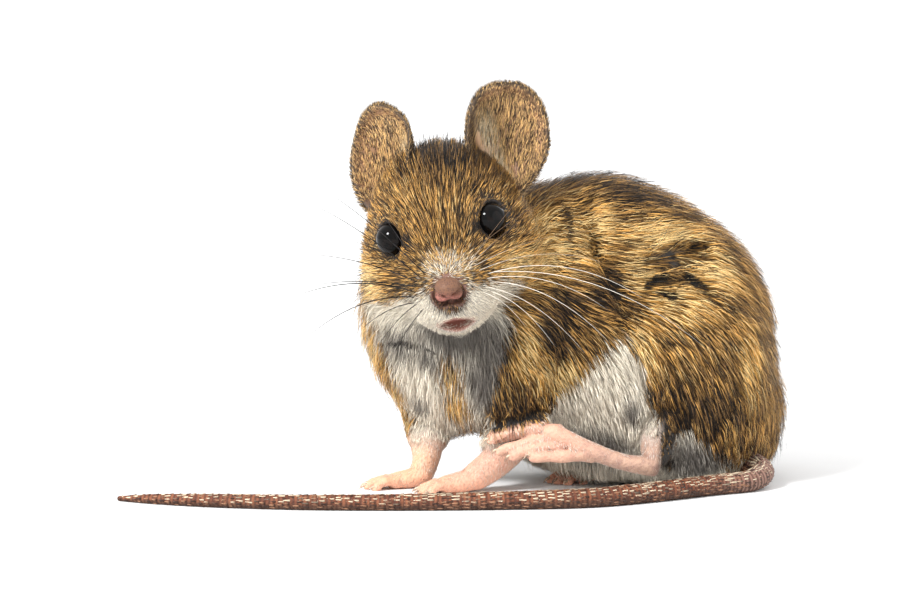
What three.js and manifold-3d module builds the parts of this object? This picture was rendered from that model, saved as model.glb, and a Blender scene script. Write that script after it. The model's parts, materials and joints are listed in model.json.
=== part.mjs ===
// A life-size field mouse, hunched on the floor with its head turned to the viewer,
// one hind foot lifted forward along its side and its tail laid in an arc in front of it.
// Millimetres, +Z up. X runs along the tail, the face looks towards -Y, and "left" and
// "right" are the animal's own sides. The surfaces stand for the outside of the coat, and
// each part of the body is a solid of its own, with a thin seam to what it grows from.
import * as THREE from "three";
import { mergeVertices } from "three/addons/utils/BufferGeometryUtils.js";
import Module from "manifold-3d";

const wasm = await Module();
wasm.setup();

// ---------------------------------------------------------------- driving dimensions
const SEAM = 0.3; // gap between two neighbouring solids
const CUT_SLACK = 0.1; // added to a seam that is cut with a coarser copy of a shape

const HEAD = { at: [-0.3, -1.6, 31.4], pitch: 19, roll: -10, yaw: -4 };
const EYE = { at: [5.6, -5.0, 2.5], radius: 2.05 }; // the left one, in the head's frame
const LID = { radius: 2.4, thick: 0.42, forward: 0.95 };
const NOSE_AT = [0, -14.8, -0.8];
const MOUTH = { at: [0, -12.4, -6.3], radii: [2.3, 1.8, 0.75], lip: 0.36 };
const EAR = { height: 14.2, width: 10.8, thick: 0.7, cup: 3.2 };

const DIGIT_RADIUS = 0.62;
const CLAW = { length: 1.1, radius: 0.3, drop: 0.25 };

// How finely each form is faceted: turns round and along a sphere, or steps of an icosphere.
const DETAIL = { head: [36, 28], headCut: [20, 15], trunk: 8, cut: 3 };

// ---------------------------------------------------------------- small helpers
const vec = (p) => new THREE.Vector3(...p);
const deg = THREE.MathUtils.degToRad;
const turned = (x, y, z) => new THREE.Euler(deg(x), deg(y), deg(z), "ZYX");
const mirrored = ([x, y, z]) => [-x, y, z];

// A soft mass of the body: an ellipsoid at `at` with half sizes `radii`, turned about X, Y, Z.
function mass(at, radii, turn = [0, 0, 0]) {
  const frame = new THREE.Matrix4().compose(
    vec(at),
    new THREE.Quaternion().setFromEuler(turned(...turn)),
    new THREE.Vector3(1, 1, 1),
  );
  return { inverse: frame.clone().invert(), frame, radii: vec(radii) };
}

// The same mass on both sides of the head.
const pair = (at, radii, turn = [0, 0, 0]) => [
  mass(at, radii, turn),
  mass(mirrored(at), radii, [turn[0], -turn[1], -turn[2]]),
];

// About how far p lies outside the mass, negative inside.
function outside(m, p) {
  const scaled = p.clone().applyMatrix4(m.inverse).divide(m.radii);
  const slope = scaled.clone().divide(m.radii).length();
  const size = scaled.length();
  return slope < 1e-9 ? -Math.min(m.radii.x, m.radii.y, m.radii.z) : (size * (size - 1)) / slope;
}

// One smooth surface over several masses: `softness` is the width of the fillet between them.
function blend(masses, softness) {
  return (p) =>
    masses.reduce((near, m) => {
      const d = outside(m, p);
      const h = Math.max(softness - Math.abs(near - d), 0) / softness;
      return Math.min(near, d) - (h * h * softness) / 4;
    }, Infinity);
}

// Pushes each vertex of a unit sphere out from `centre` until it meets the surface of `field`.
function wrap(field, centre, sphere, grow = 0) {
  const STEP = 0.5;
  const REACH = 60;
  const HALVINGS = 14;
  const geometry = bare(sphere);
  const position = geometry.getAttribute("position");
  const origin = vec(centre);
  for (let i = 0; i < position.count; i++) {
    const ray = new THREE.Vector3().fromBufferAttribute(position, i).normalize();
    const at = (r) => field(ray.clone().multiplyScalar(r).add(origin)) - grow;
    let far = STEP;
    while (far < REACH && at(far) < 0) far += STEP;
    let near = far - STEP;
    for (let n = 0; n < HALVINGS; n++) {
      const middle = (near + far) / 2;
      if (at(middle) < 0) near = middle;
      else far = middle;
    }
    ray.multiplyScalar(far).add(origin);
    position.setXYZ(i, ray.x, ray.y, ray.z);
  }
  return geometry;
}

// A geometry reduced to merged positions, so that it is one closed surface.
function bare(geometry) {
  const copy = geometry.clone();
  copy.deleteAttribute("normal");
  copy.deleteAttribute("uv");
  return mergeVertices(copy, 1e-4);
}

function solid(geometry) {
  const merged = bare(geometry);
  return new wasm.Manifold(
    new wasm.Mesh({
      numProp: 3,
      vertProperties: merged.getAttribute("position").array,
      triVerts: new Uint32Array(merged.index.array),
    }),
  );
}

const join = (solids) => solids.reduce((all, s) => all.add(s));
const without = (body, ...cutters) => cutters.reduce((left, c) => left.subtract(c), body);

// The largest closed surface of a solid, without scraps or sealed hollows.
const largest = (body) =>
  body.decompose().reduce((best, piece) => (piece.volume() > best.volume() ? piece : best));

// An ellipsoid as a solid, grown by `grow`.
function egg(m, grow = 0) {
  const geometry = new THREE.IcosahedronGeometry(1, DETAIL.cut);
  geometry.scale(m.radii.x + grow, m.radii.y + grow, m.radii.z + grow);
  geometry.applyMatrix4(m.frame);
  return solid(geometry);
}

// A limb: a capsule bent along `points`, whose radius runs through `radii`, evenly spaced.
// `flat` is its height over its width, where `up` is the way its back faces.
function limb(points, radii, options = {}) {
  const { sides = 10, steps = 10, cap = 2, flat = 1, up = [0, 0, 1], grow = 0 } = options;
  const path = new THREE.CatmullRomCurve3(points.map(vec), false, "centripetal");
  const geometry = bare(new THREE.CapsuleGeometry(1, 1, cap, sides, steps));
  const position = geometry.getAttribute("position");
  const radiusAt = (u) => {
    const place = path.getUtoTmapping(u) * (radii.length - 1);
    const i = Math.min(Math.floor(place), radii.length - 2);
    return THREE.MathUtils.lerp(radii[i], radii[i + 1], place - i) + grow;
  };
  for (let i = 0; i < position.count; i++) {
    const v = new THREE.Vector3().fromBufferAttribute(position, i);
    const u = THREE.MathUtils.clamp(v.y + 0.5, 0, 1);
    const pastEnd = v.y + 0.5 - u; // how far the vertex is into a rounded end
    const tangent = path.getTangentAt(u);
    const side = tangent.clone().cross(vec(up)).normalize();
    const back = side.clone().cross(tangent);
    const place = path
      .getPointAt(u)
      .addScaledVector(side, v.x * radiusAt(u))
      .addScaledVector(back, v.z * radiusAt(u) * flat)
      .addScaledVector(tangent, pastEnd * radiusAt(u) * Math.min(1, flat));
    position.setXYZ(i, place.x, place.y, place.z);
  }
  return solid(geometry);
}

// A box that fills the space on the far side of a plane, from `gap` beyond `through`.
function beyond(through, normal, gap = 0) {
  const SIZE = 200;
  const geometry = new THREE.BoxGeometry(SIZE, SIZE, SIZE);
  geometry.translate(0, 0, SIZE / 2 + gap);
  geometry.applyQuaternion(
    new THREE.Quaternion().setFromUnitVectors(new THREE.Vector3(0, 0, 1), vec(normal).normalize()),
  );
  geometry.translate(...through);
  return solid(geometry);
}

// Parts a body in two at a plane, with a seam between them: [before, after].
function parted(body, through, normal) {
  const opposite = normal.map((n) => -n);
  return [
    body.subtract(beyond(through, normal, -SEAM / 2)),
    body.subtract(beyond(through, opposite, -SEAM / 2)),
  ];
}

// Takes a bulge out of a body: what lies inside `space`, and the rest, with a seam between.
const takenOut = (body, space) => [body.intersect(egg(space)), body.subtract(egg(space, SEAM))];

const FLOOR = beyond([0, 0, 0], [0, 0, -1]);

// ---------------------------------------------------------------- head, in its own frame
const headField = blend(
  [
    mass([0, 3.2, 1.3], [9.9, 10.2, 9.4]), // skull
    mass([0, -1.5, -6.6], [6.4, 7.5, 4.6]), // throat
    ...pair([5.0, -0.2, -3.4], [6.7, 8.4, 6.5]), // cheeks
    ...pair([3.2, -4.9, 2.2], [2.3, 3.0, 2.6]), // brows
    mass([0, -8.4, -2.2], [4.6, 6.9, 4.2]), // bridge and muzzle
    ...pair([2.6, -6.6, -3.0], [3.8, 4.8, 4.2]), // sides of the muzzle
    mass([0, -7.8, -6.7], [3.6, 4.8, 2.8]), // chin
    ...pair([2.2, -11.3, -3.7], [2.6, 3.0, 2.4]), // whisker pads
  ],
  2.6,
);

// A unit sphere whose pole looks along -Y, so that its rings close in on the muzzle.
function faceSphere([around, rings]) {
  const geometry = new THREE.SphereGeometry(1, around, rings);
  geometry.rotateX(Math.PI / 2);
  geometry.rotateZ(Math.PI);
  return geometry;
}

const HEAD_CENTRE = [0, -1.5, -1.2];
const headShape = (detail, grow = 0) => wrap(headField, HEAD_CENTRE, faceSphere(detail), grow);

// The point of the face's surface straight in front of (x, z).
function onFace(x, z) {
  const STEP = 0.05;
  const p = new THREE.Vector3(x, -20, z);
  while (p.y < 0 && headField(p) > 0) p.y += STEP;
  return p.toArray();
}

const SIDES = { left: 1, right: -1 };
const eyeAt = (sign) => [sign * EYE.at[0], EYE.at[1], EYE.at[2]];

// The way that an eye looks out of the head: sideways, forward and a little up.
const eyeLooks = (sign) => new THREE.Vector3(sign * 0.78, -0.6, 0.2).normalize();

function eyeball(sign, grow = 0) {
  const geometry = new THREE.SphereGeometry(EYE.radius + grow, 14, 10);
  geometry.translate(...eyeAt(sign));
  return solid(geometry);
}

// The lids: a low ring round the opening, a little longer than high.
function lids(sign) {
  const ring = new THREE.TorusGeometry(LID.radius, LID.thick, 5, 16);
  ring.scale(1.05, 0.97, 1);
  ring.applyQuaternion(
    new THREE.Quaternion().setFromUnitVectors(new THREE.Vector3(0, 0, 1), eyeLooks(sign)),
  );
  ring.translate(...vec(eyeAt(sign)).addScaledVector(eyeLooks(sign), LID.forward).toArray());
  return solid(ring);
}

// The nose pad with its two wings, grown by `grow` for the space that it sits in.
const noseField = blend(
  [
    mass(NOSE_AT, [1.75, 1.5, 1.35]),
    ...pair([0.85, NOSE_AT[1] + 0.1, NOSE_AT[2] - 1.1], [0.85, 1.1, 0.8]),
  ],
  0.5,
);
const noseShape = (grow = 0) =>
  solid(wrap(noseField, [0, NOSE_AT[1] + 0.2, NOSE_AT[2] - 0.4], faceSphere([16, 11]), grow));

// A nostril: a comma that runs back round the side of the pad.
function nostril(sign) {
  const [, y, z] = NOSE_AT;
  const comma = [
    [sign * 2.2, y + 0.1, z - 0.1],
    [sign * 1.35, y - 0.6, z - 0.55],
    [sign * 0.75, y - 1.3, z - 0.75],
  ];
  return limb(comma, [0.3, 0.3, 0.24], { sides: 6, steps: 4, cap: 1 });
}

// The groove from the nose down to the mouth.
function philtrum() {
  const top = onFace(0, NOSE_AT[2] - 2.2);
  const bottom = onFace(0, MOUTH.at[2] + MOUTH.radii[2]);
  return limb([top, bottom], [0.25, 0.2], { sides: 6, steps: 2, cap: 1, up: [1, 0, 0] });
}

// The lower jaw's own space in the head: its top edge is the line of the mouth.
const JAW = mass([0, -8.4, -10.2], [4.3, 6.4, 3.7]);
const mouthOpening = () => egg(mass(MOUTH.at, MOUTH.radii));

// A lip: a low ridge over the face, from one corner of the mouth to the other.
function lip(middleHeight, cornerHeight) {
  const [halfWidth] = MOUTH.radii;
  const across = [-1.1, -0.6, 0, 0.6, 1.1];
  const ridge = across.map((s) =>
    onFace(s * halfWidth, THREE.MathUtils.lerp(middleHeight, cornerHeight, Math.abs(s))),
  );
  return limb(ridge, [MOUTH.lip * 0.7, MOUTH.lip, MOUTH.lip * 0.7], { sides: 6, steps: 8 });
}

function headNodes() {
  const whole = solid(headShape(DETAIL.head));
  const [, , mouthZ] = MOUTH.at;
  const upperLip = lip(mouthZ + 0.95, mouthZ + 0.2);
  const lowerLip = lip(mouthZ - 1.0, mouthZ - 0.5);
  const jawSpace = egg(JAW, SEAM);
  const head = without(
    join([whole, lids(SIDES.left), lids(SIDES.right), upperLip.subtract(jawSpace)]),
    eyeball(SIDES.left, SEAM),
    eyeball(SIDES.right, SEAM),
    jawSpace,
    mouthOpening(),
    noseShape(SEAM),
    philtrum(),
  );
  const jaw = whole.add(lowerLip).intersect(egg(JAW)).subtract(mouthOpening());
  return {
    head: largest(head),
    lower_jaw: largest(jaw),
    nose: largest(without(noseShape(), nostril(SIDES.left), nostril(SIDES.right))),
    eye_left: eyeball(SIDES.left),
    eye_right: eyeball(SIDES.right),
    ear_left: ear(SIDES.left, EAR_SET.left),
    ear_right: ear(SIDES.right, EAR_SET.right),
  };
}

// ---------------------------------------------------------------- ears
// Where the middle of each ear is in the head's frame, and how it is turned about X, Y, Z.
const EAR_SET = {
  left: { at: [8.9, 5.0, 8.8], turn: [-18, 15, 14] },
  right: { at: [-6.4, 4.8, 9.0], turn: [-16, 13, -48] },
};

// The ear as a dish: a thin lathed shell, drawn out tall and cupped towards the front.
// It is deepest near its root, where it narrows and its edges fold forward.
function ear(sign, { at, turn }) {
  const ROWS = 6;
  const half = EAR.thick / 2;
  const profile = [];
  for (let i = 0; i <= ROWS; i++) profile.push(new THREE.Vector2(i / ROWS, half));
  profile.push(new THREE.Vector2(1 + half / 6, 0));
  for (let i = ROWS; i >= 0; i--) profile.push(new THREE.Vector2(i / ROWS, -half));
  const dish = bare(new THREE.LatheGeometry(profile, 22));
  const position = dish.getAttribute("position");
  for (let i = 0; i < position.count; i++) {
    const across = position.getX(i);
    const along = -position.getZ(i); // from the root, -1, to the tip, 1
    const towardsRoot = Math.max(0, -along);
    const narrow = 1 - 0.34 * towardsRoot ** 1.6;
    const deep = EAR.cup * (1 - across * across - along * along) * (1 - 0.45 * along);
    const fold = 1.5 * towardsRoot * across * across;
    const full = 1 + 0.2 * Math.max(0, along) ** 2 * across * across; // broad shoulders at the tip
    position.setXYZ(
      i,
      across * narrow * full * (EAR.width / 2),
      position.getY(i) + deep - fold,
      along * full * (EAR.height / 2),
    );
  }
  dish.applyMatrix4(mass(at, [1, 1, 1], turn).frame);
  return largest(without(solid(dish), solid(headShape(DETAIL.headCut, SEAM + CUT_SLACK))));
}

// ---------------------------------------------------------------- trunk
// The masses of the limbs' upper parts, which swell the trunk.
const THIGH = {
  left: mass([29.5, 1.2, 13.4], [9.6, 6.4, 12.6], [0, 12, 8]),
  right: mass([29.0, 20.4, 13.4], [9.6, 6.4, 12.4], [0, 12, 8]),
};
const ARM = {
  left: mass([8.2, -0.6, 13.9], [6.8, 6.0, 9.5], [0, 14, 20]),
  right: mass([-1.6, 4.5, 11.0], [5.2, 5.2, 8.0], [0, 0, 20]),
};

const trunkField = blend(
  [
    mass([2.5, 4.5, 19.2], [13.6, 10.6, 11.4]), // chest
    mass([18.2, 9.4, 22.6], [15.2, 13.0, 16.2]), // back
    mass([5.0, 11.0, 18.0], [9.0, 8.4, 11.0]), // right shoulder
    mass([24.2, 11.0, 17.9], [17.1, 13.6, 17.4]), // loins
    mass([20.0, 10.2, 11.6], [16.4, 13.6, 12.4]), // belly
    mass([28.8, 11.2, 8.0], [13.8, 13.8, 11.2]), // rump
    mass([1.2, 3.4, 24.6], [12.6, 10.4, 9.0]), // neck
    mass([5.2, 9.2, 28.4], [9.8, 9.0, 9.6]), // nape
    THIGH.left,
    THIGH.right,
    ARM.left,
    ARM.right,
  ],
  3.2,
);

const TRUNK_CENTRE = [16, 8.5, 17];
const trunkShape = (grow = 0) =>
  solid(wrap(trunkField, TRUNK_CENTRE, new THREE.IcosahedronGeometry(1, DETAIL.trunk), grow));

// The space of each part that is taken out of the trunk, crossing its surface steeply.
const TRUNK_SPACES = {
  neck: mass([1.4, 4.2, 29.0], [13.8, 14.6, 11.8], [0, 0, -25]),
  upper_arm_left: mass([9.0, -4.8, 13.2], [6.8, 7.2, 8.8], [0, 14, 20]),
  upper_arm_right: mass([-4.4, 2.4, 9.2], [6.0, 7.8, 6.8]),
  thigh_left: mass([31.2, -4.2, 13.8], [9.0, 9.2, 13.6], [0, 12, 8]),
  thigh_right: mass([30.6, 25.8, 13.8], [9.0, 9.2, 13.6], [0, 12, 8]),
};

function trunkNodes(...clear) {
  const nodes = {};
  let rest = without(trunkShape(), ...clear, FLOOR);
  for (const [name, space] of Object.entries(TRUNK_SPACES)) {
    const [bulge, left] = takenOut(rest, space);
    nodes[name] = largest(bulge);
    rest = left;
  }
  const [chest, behind] = parted(rest, [13.2, 7, 18], [0.92, 0.38, 0]);
  const [abdomen, rump] = parted(behind, [24.5, 10, 18], [0.97, 0.24, 0]);
  return { ...nodes, chest: largest(chest), abdomen: largest(abdomen), rump: largest(rump) };
}

// ---------------------------------------------------------------- limbs
// A foot: a sole, with digits that fan out from its front end, and a claw on each.
function foot({ sole, radii, flat, digits }) {
  const pieces = [limb(sole, radii, { steps: 5, flat })];
  for (const points of digits) {
    const thick = [DIGIT_RADIUS * 1.15, DIGIT_RADIUS, DIGIT_RADIUS * 0.85];
    pieces.push(limb(points, thick, { sides: 6, steps: 2, cap: 1 }), claw(points));
  }
  return join(pieces);
}

// A claw goes on from the last stretch of its digit and bends down.
function claw(points) {
  const tip = vec(points.at(-1));
  const along = tip.clone().sub(vec(points.at(-2))).normalize();
  const start = tip.clone().addScaledVector(along, -0.2);
  const middle = tip.clone().addScaledVector(along, CLAW.length * 0.5);
  const end = tip.clone().addScaledVector(along, CLAW.length);
  middle.z += CLAW.drop / 2;
  end.z = Math.max(end.z - CLAW.drop, CLAW.drop / 2);
  const path = [start, middle, end].map((p) => p.toArray());
  return limb(path, [CLAW.radius, CLAW.radius * 0.8, CLAW.radius * 0.3], { sides: 4, steps: 2, cap: 1 });
}

// Digits of a foot that rests on the floor, which fan out from `root` about `heading`.
function fan(root, heading, spread, width, lengths) {
  const [KNUCKLE, TIP] = [0.9, 0.45]; // heights over the floor
  const side = [-Math.sin(deg(heading)), Math.cos(deg(heading))];
  return lengths.map((length, i) => {
    const share = i / (lengths.length - 1) - 0.5;
    const angle = deg(heading + share * spread);
    const at = (t, z) => [
      root[0] + side[0] * share * width + Math.cos(angle) * length * t,
      root[1] + side[1] * share * width + Math.sin(angle) * length * t,
      z,
    ];
    return [at(0, KNUCKLE), at(0.55, KNUCKLE), at(1, TIP)];
  });
}

const FEET = {
  forepaw_left: {
    sole: [[3.6, -2.6, 1.7], [1.4, -3.1, 1.25], [-0.7, -3.6, 0.95]],
    radii: [1.8, 1.85, 1.55],
    flat: 0.75,
    digits: fan([-0.8, -3.6], 190, 44, 2.5, [1.9, 2.7, 2.8, 2.1]),
  },
  forepaw_right: {
    sole: [[-3.3, 0.8, 1.5], [-5.1, 0.5, 1.15], [-6.9, 0.2, 0.9]],
    radii: [1.6, 1.65, 1.45],
    flat: 0.75,
    digits: fan([-7.0, 0.2], 182, 44, 2.4, [2.0, 3.0, 3.1, 2.3]),
  },
  hind_foot_right: {
    sole: [[27.4, 17.6, 1.5], [22.4, 12.6, 1.3], [16.6, 6.8, 1.0]],
    radii: [1.9, 1.6, 1.9],
    flat: 0.75,
    digits: fan([16.6, 6.9], 226, 34, 3.2, [2.8, 4.4, 4.7, 4.4, 2.6]),
  },
  // The lifted foot: its toes rest on the near forearm, and the outer toe hangs free.
  hind_foot_left: {
    sole: [[26.2, -4.2, 3.5], [21.5, -5.1, 3.9], [16.8, -5.5, 5.5], [12.4, -5.7, 7.5]],
    radii: [1.65, 1.35, 1.5, 1.55],
    flat: 0.85,
    digits: [
      [[12.8, -5.0, 7.7], [9.2, -4.8, 7.3], [5.6, -4.6, 6.5]],
      [[12.8, -5.8, 7.2], [9.0, -5.7, 6.6], [5.4, -5.4, 5.8]],
      [[13.0, -6.4, 6.6], [9.8, -6.5, 5.7], [6.8, -6.2, 4.8]],
      [[16.0, -6.3, 4.7], [13.0, -7.0, 4.6], [10.2, -7.2, 4.7]],
      [[14.8, -4.6, 5.8], [12.0, -4.2, 5.2], [9.8, -4.0, 4.8]],
    ],
  },
};

// The space that the belly leaves for the hind foot under it: its sole, and the fan of its toes.
const TOE_SPACE = mass([14.9, 5.1, 0.5], [5.6, 4.8, 2.4], [0, 0, 46]);
const footClear = ({ sole, radii }) =>
  join([limb(sole, radii, { steps: 5, flat: 0.95, grow: SEAM + CUT_SLACK }), egg(TOE_SPACE)]);

// The lower part of each leg that shows between the coat and the foot.
const LOWER_LEGS = {
  forearm_left: {
    points: [[9.2, 0.4, 10], [7.9, -0.8, 6.6], [5.5, -2.0, 3.6], [3.9, -2.6, 2.2]],
    radii: [3.4, 2.7, 2.1, 1.85],
  },
  forearm_right: {
    points: [[-2.6, 5.4, 9.4], [-2.8, 3.4, 6.0], [-3.0, 1.6, 3.2], [-3.2, 1.0, 2.0]],
    radii: [3.2, 2.3, 1.7, 1.6],
  },
  shank_left: {
    points: [[27.6, 0.5, 12], [27.3, -2.0, 7.4], [26.6, -4.0, 4.4]],
    radii: [3.4, 2.6, 1.8],
  },
};
const lowerLeg = ({ points, radii }, grow = 0) =>
  limb(points, radii, { up: [0, 1, 0], steps: 8, grow });

// ---------------------------------------------------------------- tail
const TAIL = {
  path: [
    [35.6, 4.6, 3.3], [38.5, 1.2, 2.0], [36.8, -2.2, 1.3], [31.8, -5.4, 1.2], [24.2, -10.9, 1.15],
    [16.5, -15.2, 1.1], [5.2, -16.9, 1.0], [-6.4, -17.5, 0.92], [-17.9, -17.0, 0.85],
    [-28.5, -14.9, 0.75], [-35.5, -12.4, 0.55], [-39.4, -10.4, 0.32],
  ],
  radii: [1.75, 1.5, 1.38, 1.3, 1.27, 1.2, 1.12, 1.02, 0.95, 0.85, 0.62, 0.32],
};

// The tail in three lengths, from its root on the rump to its tip.
function tailNodes(bodyClear) {
  const whole = limb(TAIL.path, TAIL.radii, { sides: 9, steps: 36 });
  const onFloor = largest(without(whole, bodyClear, FLOOR));
  const [base, rest] = parted(onFloor, [19, -14, 0], [-0.88, -0.47, 0]);
  const [middle, tip] = parted(rest, [-14, -17.3, 0], [-1, 0.05, 0]);
  return { tail_base: largest(base), tail_middle: largest(middle), tail_tip: largest(tip) };
}

// ---------------------------------------------------------------- materials
const finish = (color, roughness) => new THREE.MeshStandardMaterial({ color, roughness, metalness: 0 });
const MATERIALS = {
  brown_fur: finish(0x8a6236, 0.85),
  pale_fur: finish(0xc9c3b8, 0.85),
  skin: finish(0xe0a890, 0.6),
  ear_skin: finish(0x84634a, 0.75),
  nose_skin: finish(0x9a6a5c, 0.55),
  eye: finish(0x0b0b0d, 0.08),
  tail_skin: finish(0x6f4c3a, 0.75),
};
const NODE_FINISH = {
  lower_jaw: "pale_fur",
  nose: "nose_skin",
  eye_left: "eye",
  eye_right: "eye",
  ear_left: "ear_skin",
  ear_right: "ear_skin",
  chest: "pale_fur",
  abdomen: "pale_fur",
};

// ---------------------------------------------------------------- assembly
function mesh(name, body, finishName) {
  const { vertProperties, triVerts } = body.getMesh();
  const geometry = new THREE.BufferGeometry()
    .setAttribute("position", new THREE.BufferAttribute(vertProperties, 3))
    .setIndex(new THREE.BufferAttribute(triVerts, 1));
  geometry.computeVertexNormals();
  const made = new THREE.Mesh(geometry, MATERIALS[NODE_FINISH[name] ?? finishName]);
  made.name = name;
  return made;
}

const addAll = (group, nodes, finishName) => {
  for (const [name, body] of Object.entries(nodes)) group.add(mesh(name, body, finishName));
};
const mapped = (named, make) =>
  Object.fromEntries(Object.entries(named).map(([name, value]) => [name, make(value)]));

const headGroup = new THREE.Group();
headGroup.position.set(...HEAD.at);
headGroup.rotation.copy(turned(HEAD.pitch, HEAD.roll, HEAD.yaw));
headGroup.updateMatrix();
addAll(headGroup, headNodes(), "brown_fur");

const headSpace = headShape(DETAIL.headCut, SEAM + CUT_SLACK).applyMatrix4(headGroup.matrix);
const bodyClear = trunkShape(SEAM);
const legClear = join(Object.values(LOWER_LEGS).map((leg) => lowerLeg(leg, SEAM)));
const { hind_foot_right: footUnder, ...openFeet } = FEET;

const mouse = new THREE.Group();
mouse.add(headGroup);
addAll(mouse, trunkNodes(solid(headSpace), footClear(footUnder)), "brown_fur");
addAll(mouse, mapped(LOWER_LEGS, (leg) => largest(without(lowerLeg(leg), bodyClear, FLOOR))), "skin");
addAll(mouse, mapped(openFeet, (f) => largest(without(foot(f), legClear, bodyClear, FLOOR))), "skin");
addAll(mouse, { hind_foot_right: largest(without(foot(footUnder), FLOOR)) }, "skin");
addAll(mouse, tailNodes(bodyClear), "tail_skin");

// The origin is under the middle of the whole animal, on the floor.
const reach = new THREE.Box3().setFromObject(mouse, true);
const middle = reach.getCenter(new THREE.Vector3());
mouse.position.set(-middle.x, -middle.y, -reach.min.z);

export default mouse;
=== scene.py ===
"""Dresses the solids of a life-size field mouse: skin, coat, eyes, ears, tail, claws and whiskers."""

import json
import math
from functools import partialmethod

import bmesh
import bpy
import numpy as np
from mathutils import Euler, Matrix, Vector

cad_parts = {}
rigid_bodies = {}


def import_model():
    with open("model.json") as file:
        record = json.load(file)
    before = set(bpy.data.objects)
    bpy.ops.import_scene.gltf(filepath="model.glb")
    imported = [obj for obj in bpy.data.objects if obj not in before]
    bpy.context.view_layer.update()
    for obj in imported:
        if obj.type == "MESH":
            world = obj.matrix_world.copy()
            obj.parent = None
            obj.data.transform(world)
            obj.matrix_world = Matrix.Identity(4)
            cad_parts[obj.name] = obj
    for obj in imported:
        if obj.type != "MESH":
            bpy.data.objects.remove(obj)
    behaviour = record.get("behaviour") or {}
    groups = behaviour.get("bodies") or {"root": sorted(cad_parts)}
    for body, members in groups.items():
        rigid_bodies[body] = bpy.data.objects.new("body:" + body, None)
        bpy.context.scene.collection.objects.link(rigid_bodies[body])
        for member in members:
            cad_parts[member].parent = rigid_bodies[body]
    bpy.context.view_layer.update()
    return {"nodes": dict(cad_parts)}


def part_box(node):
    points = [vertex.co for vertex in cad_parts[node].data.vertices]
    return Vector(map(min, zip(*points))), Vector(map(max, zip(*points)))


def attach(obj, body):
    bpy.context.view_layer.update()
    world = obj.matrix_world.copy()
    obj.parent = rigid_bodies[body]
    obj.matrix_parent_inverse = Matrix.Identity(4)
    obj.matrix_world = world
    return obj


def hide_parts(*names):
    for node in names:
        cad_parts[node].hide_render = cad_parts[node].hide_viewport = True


bl_info = {
    "name": "Field mouse",
    "version": (1, 0, 0),
    "blender": (4, 5, 0),
    "location": "3D View > Sidebar > Field mouse",
    "description": "Builds the skin, coat and finer parts of a life-size field mouse over its solids",
    "category": "Object",
}

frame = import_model()


def turn_of(degrees):
    """The matrix of a turn about X, Y and Z."""
    return np.array(Euler([math.radians(a) for a in degrees]).to_matrix())


# -------------------- measures
# Millimetres, in the frame that the solids were drawn in. The head's own frame looks along -Y.
MM = 0.001
HEAD_AT = np.array([-0.3, -1.6, 31.4])
HEAD_TURN = turn_of((19, -10, -4))
SIDES = {"left": 1, "right": -1}
EYE = {"at": np.array([5.6, -5.0, 2.5]), "radius": 2.05, "looks": np.array([0.72, -0.66, 0.2])}
EYES_AT = {"left": np.array([5.7, -5.0, 2.9]), "right": np.array([-6.1, -5.0, 2.5])}
LID = {"radius": 1.98, "forward": 0.42, "slope": 0.34, "reach": 4.4, "tall": 0.89, "rise": 0.24}
LID_RIM = {"radius": 0.26, "outside": 0.16}
NOSE_AT = np.array([0.0, -14.8, -0.8])
MOUTH = {"at": np.array([0.05, -14.0, -6.15]), "half": 2.3, "tall": 1.25, "smile": 0.05, "deep": 0.6}
SNOUT = {"at": NOSE_AT + np.array([0.0, 1.4, -0.5]), "radii": (1.8, 1.6, 1.6)}
EAR = {
    "height": 14.2, "width": 10.8, "thick": 0.7, "cup": 3.2, "fold": 1.5, "roll": 0.3, "ridge": 0.5,
    "front": 1.1, "base": (0, 0.5, -6.5), "rows": 26, "turns": 96,
}
EAR_SET = {
    "left": {"at": (8.9, 5.0, 8.8), "turn": (-18, 15, 14)},
    "right": {"at": (-6.4, 4.8, 9.0), "turn": (-16, 13, -48)},
}
TAIL = {
    "path": [
        (35.6, 4.6, 3.3), (38.5, 1.2, 2), (36.8, -2.2, 1.3), (31.8, -5.4, 1.2),
        (24.2, -10.9, 1.15), (16.5, -15.2, 1.1), (5.2, -16.9, 1), (-6.4, -17.5, 0.92),
        (-17.9, -17, 0.85), (-28.5, -14.9, 0.75), (-35.5, -12.4, 0.55), (-39.4, -10.4, 0.32),
    ],
    "radii": [1.75, 1.5, 1.38, 1.3, 1.27, 1.2, 1.12, 1.02, 0.95, 0.85, 0.62, 0.32],
    "ring": 0.56,
    "tick": 0.98,
    "scale": 0.42,
}

FLESH = [
    "head", "lower_jaw", "neck", "chest", "abdomen", "rump", "upper_arm_left", "upper_arm_right",
    "thigh_left", "thigh_right",
]
LIMB_NODES = [
    "forearm_left", "forearm_right", "shank_left", "forepaw_left", "forepaw_right",
    "hind_foot_left", "hind_foot_right",
]

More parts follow.
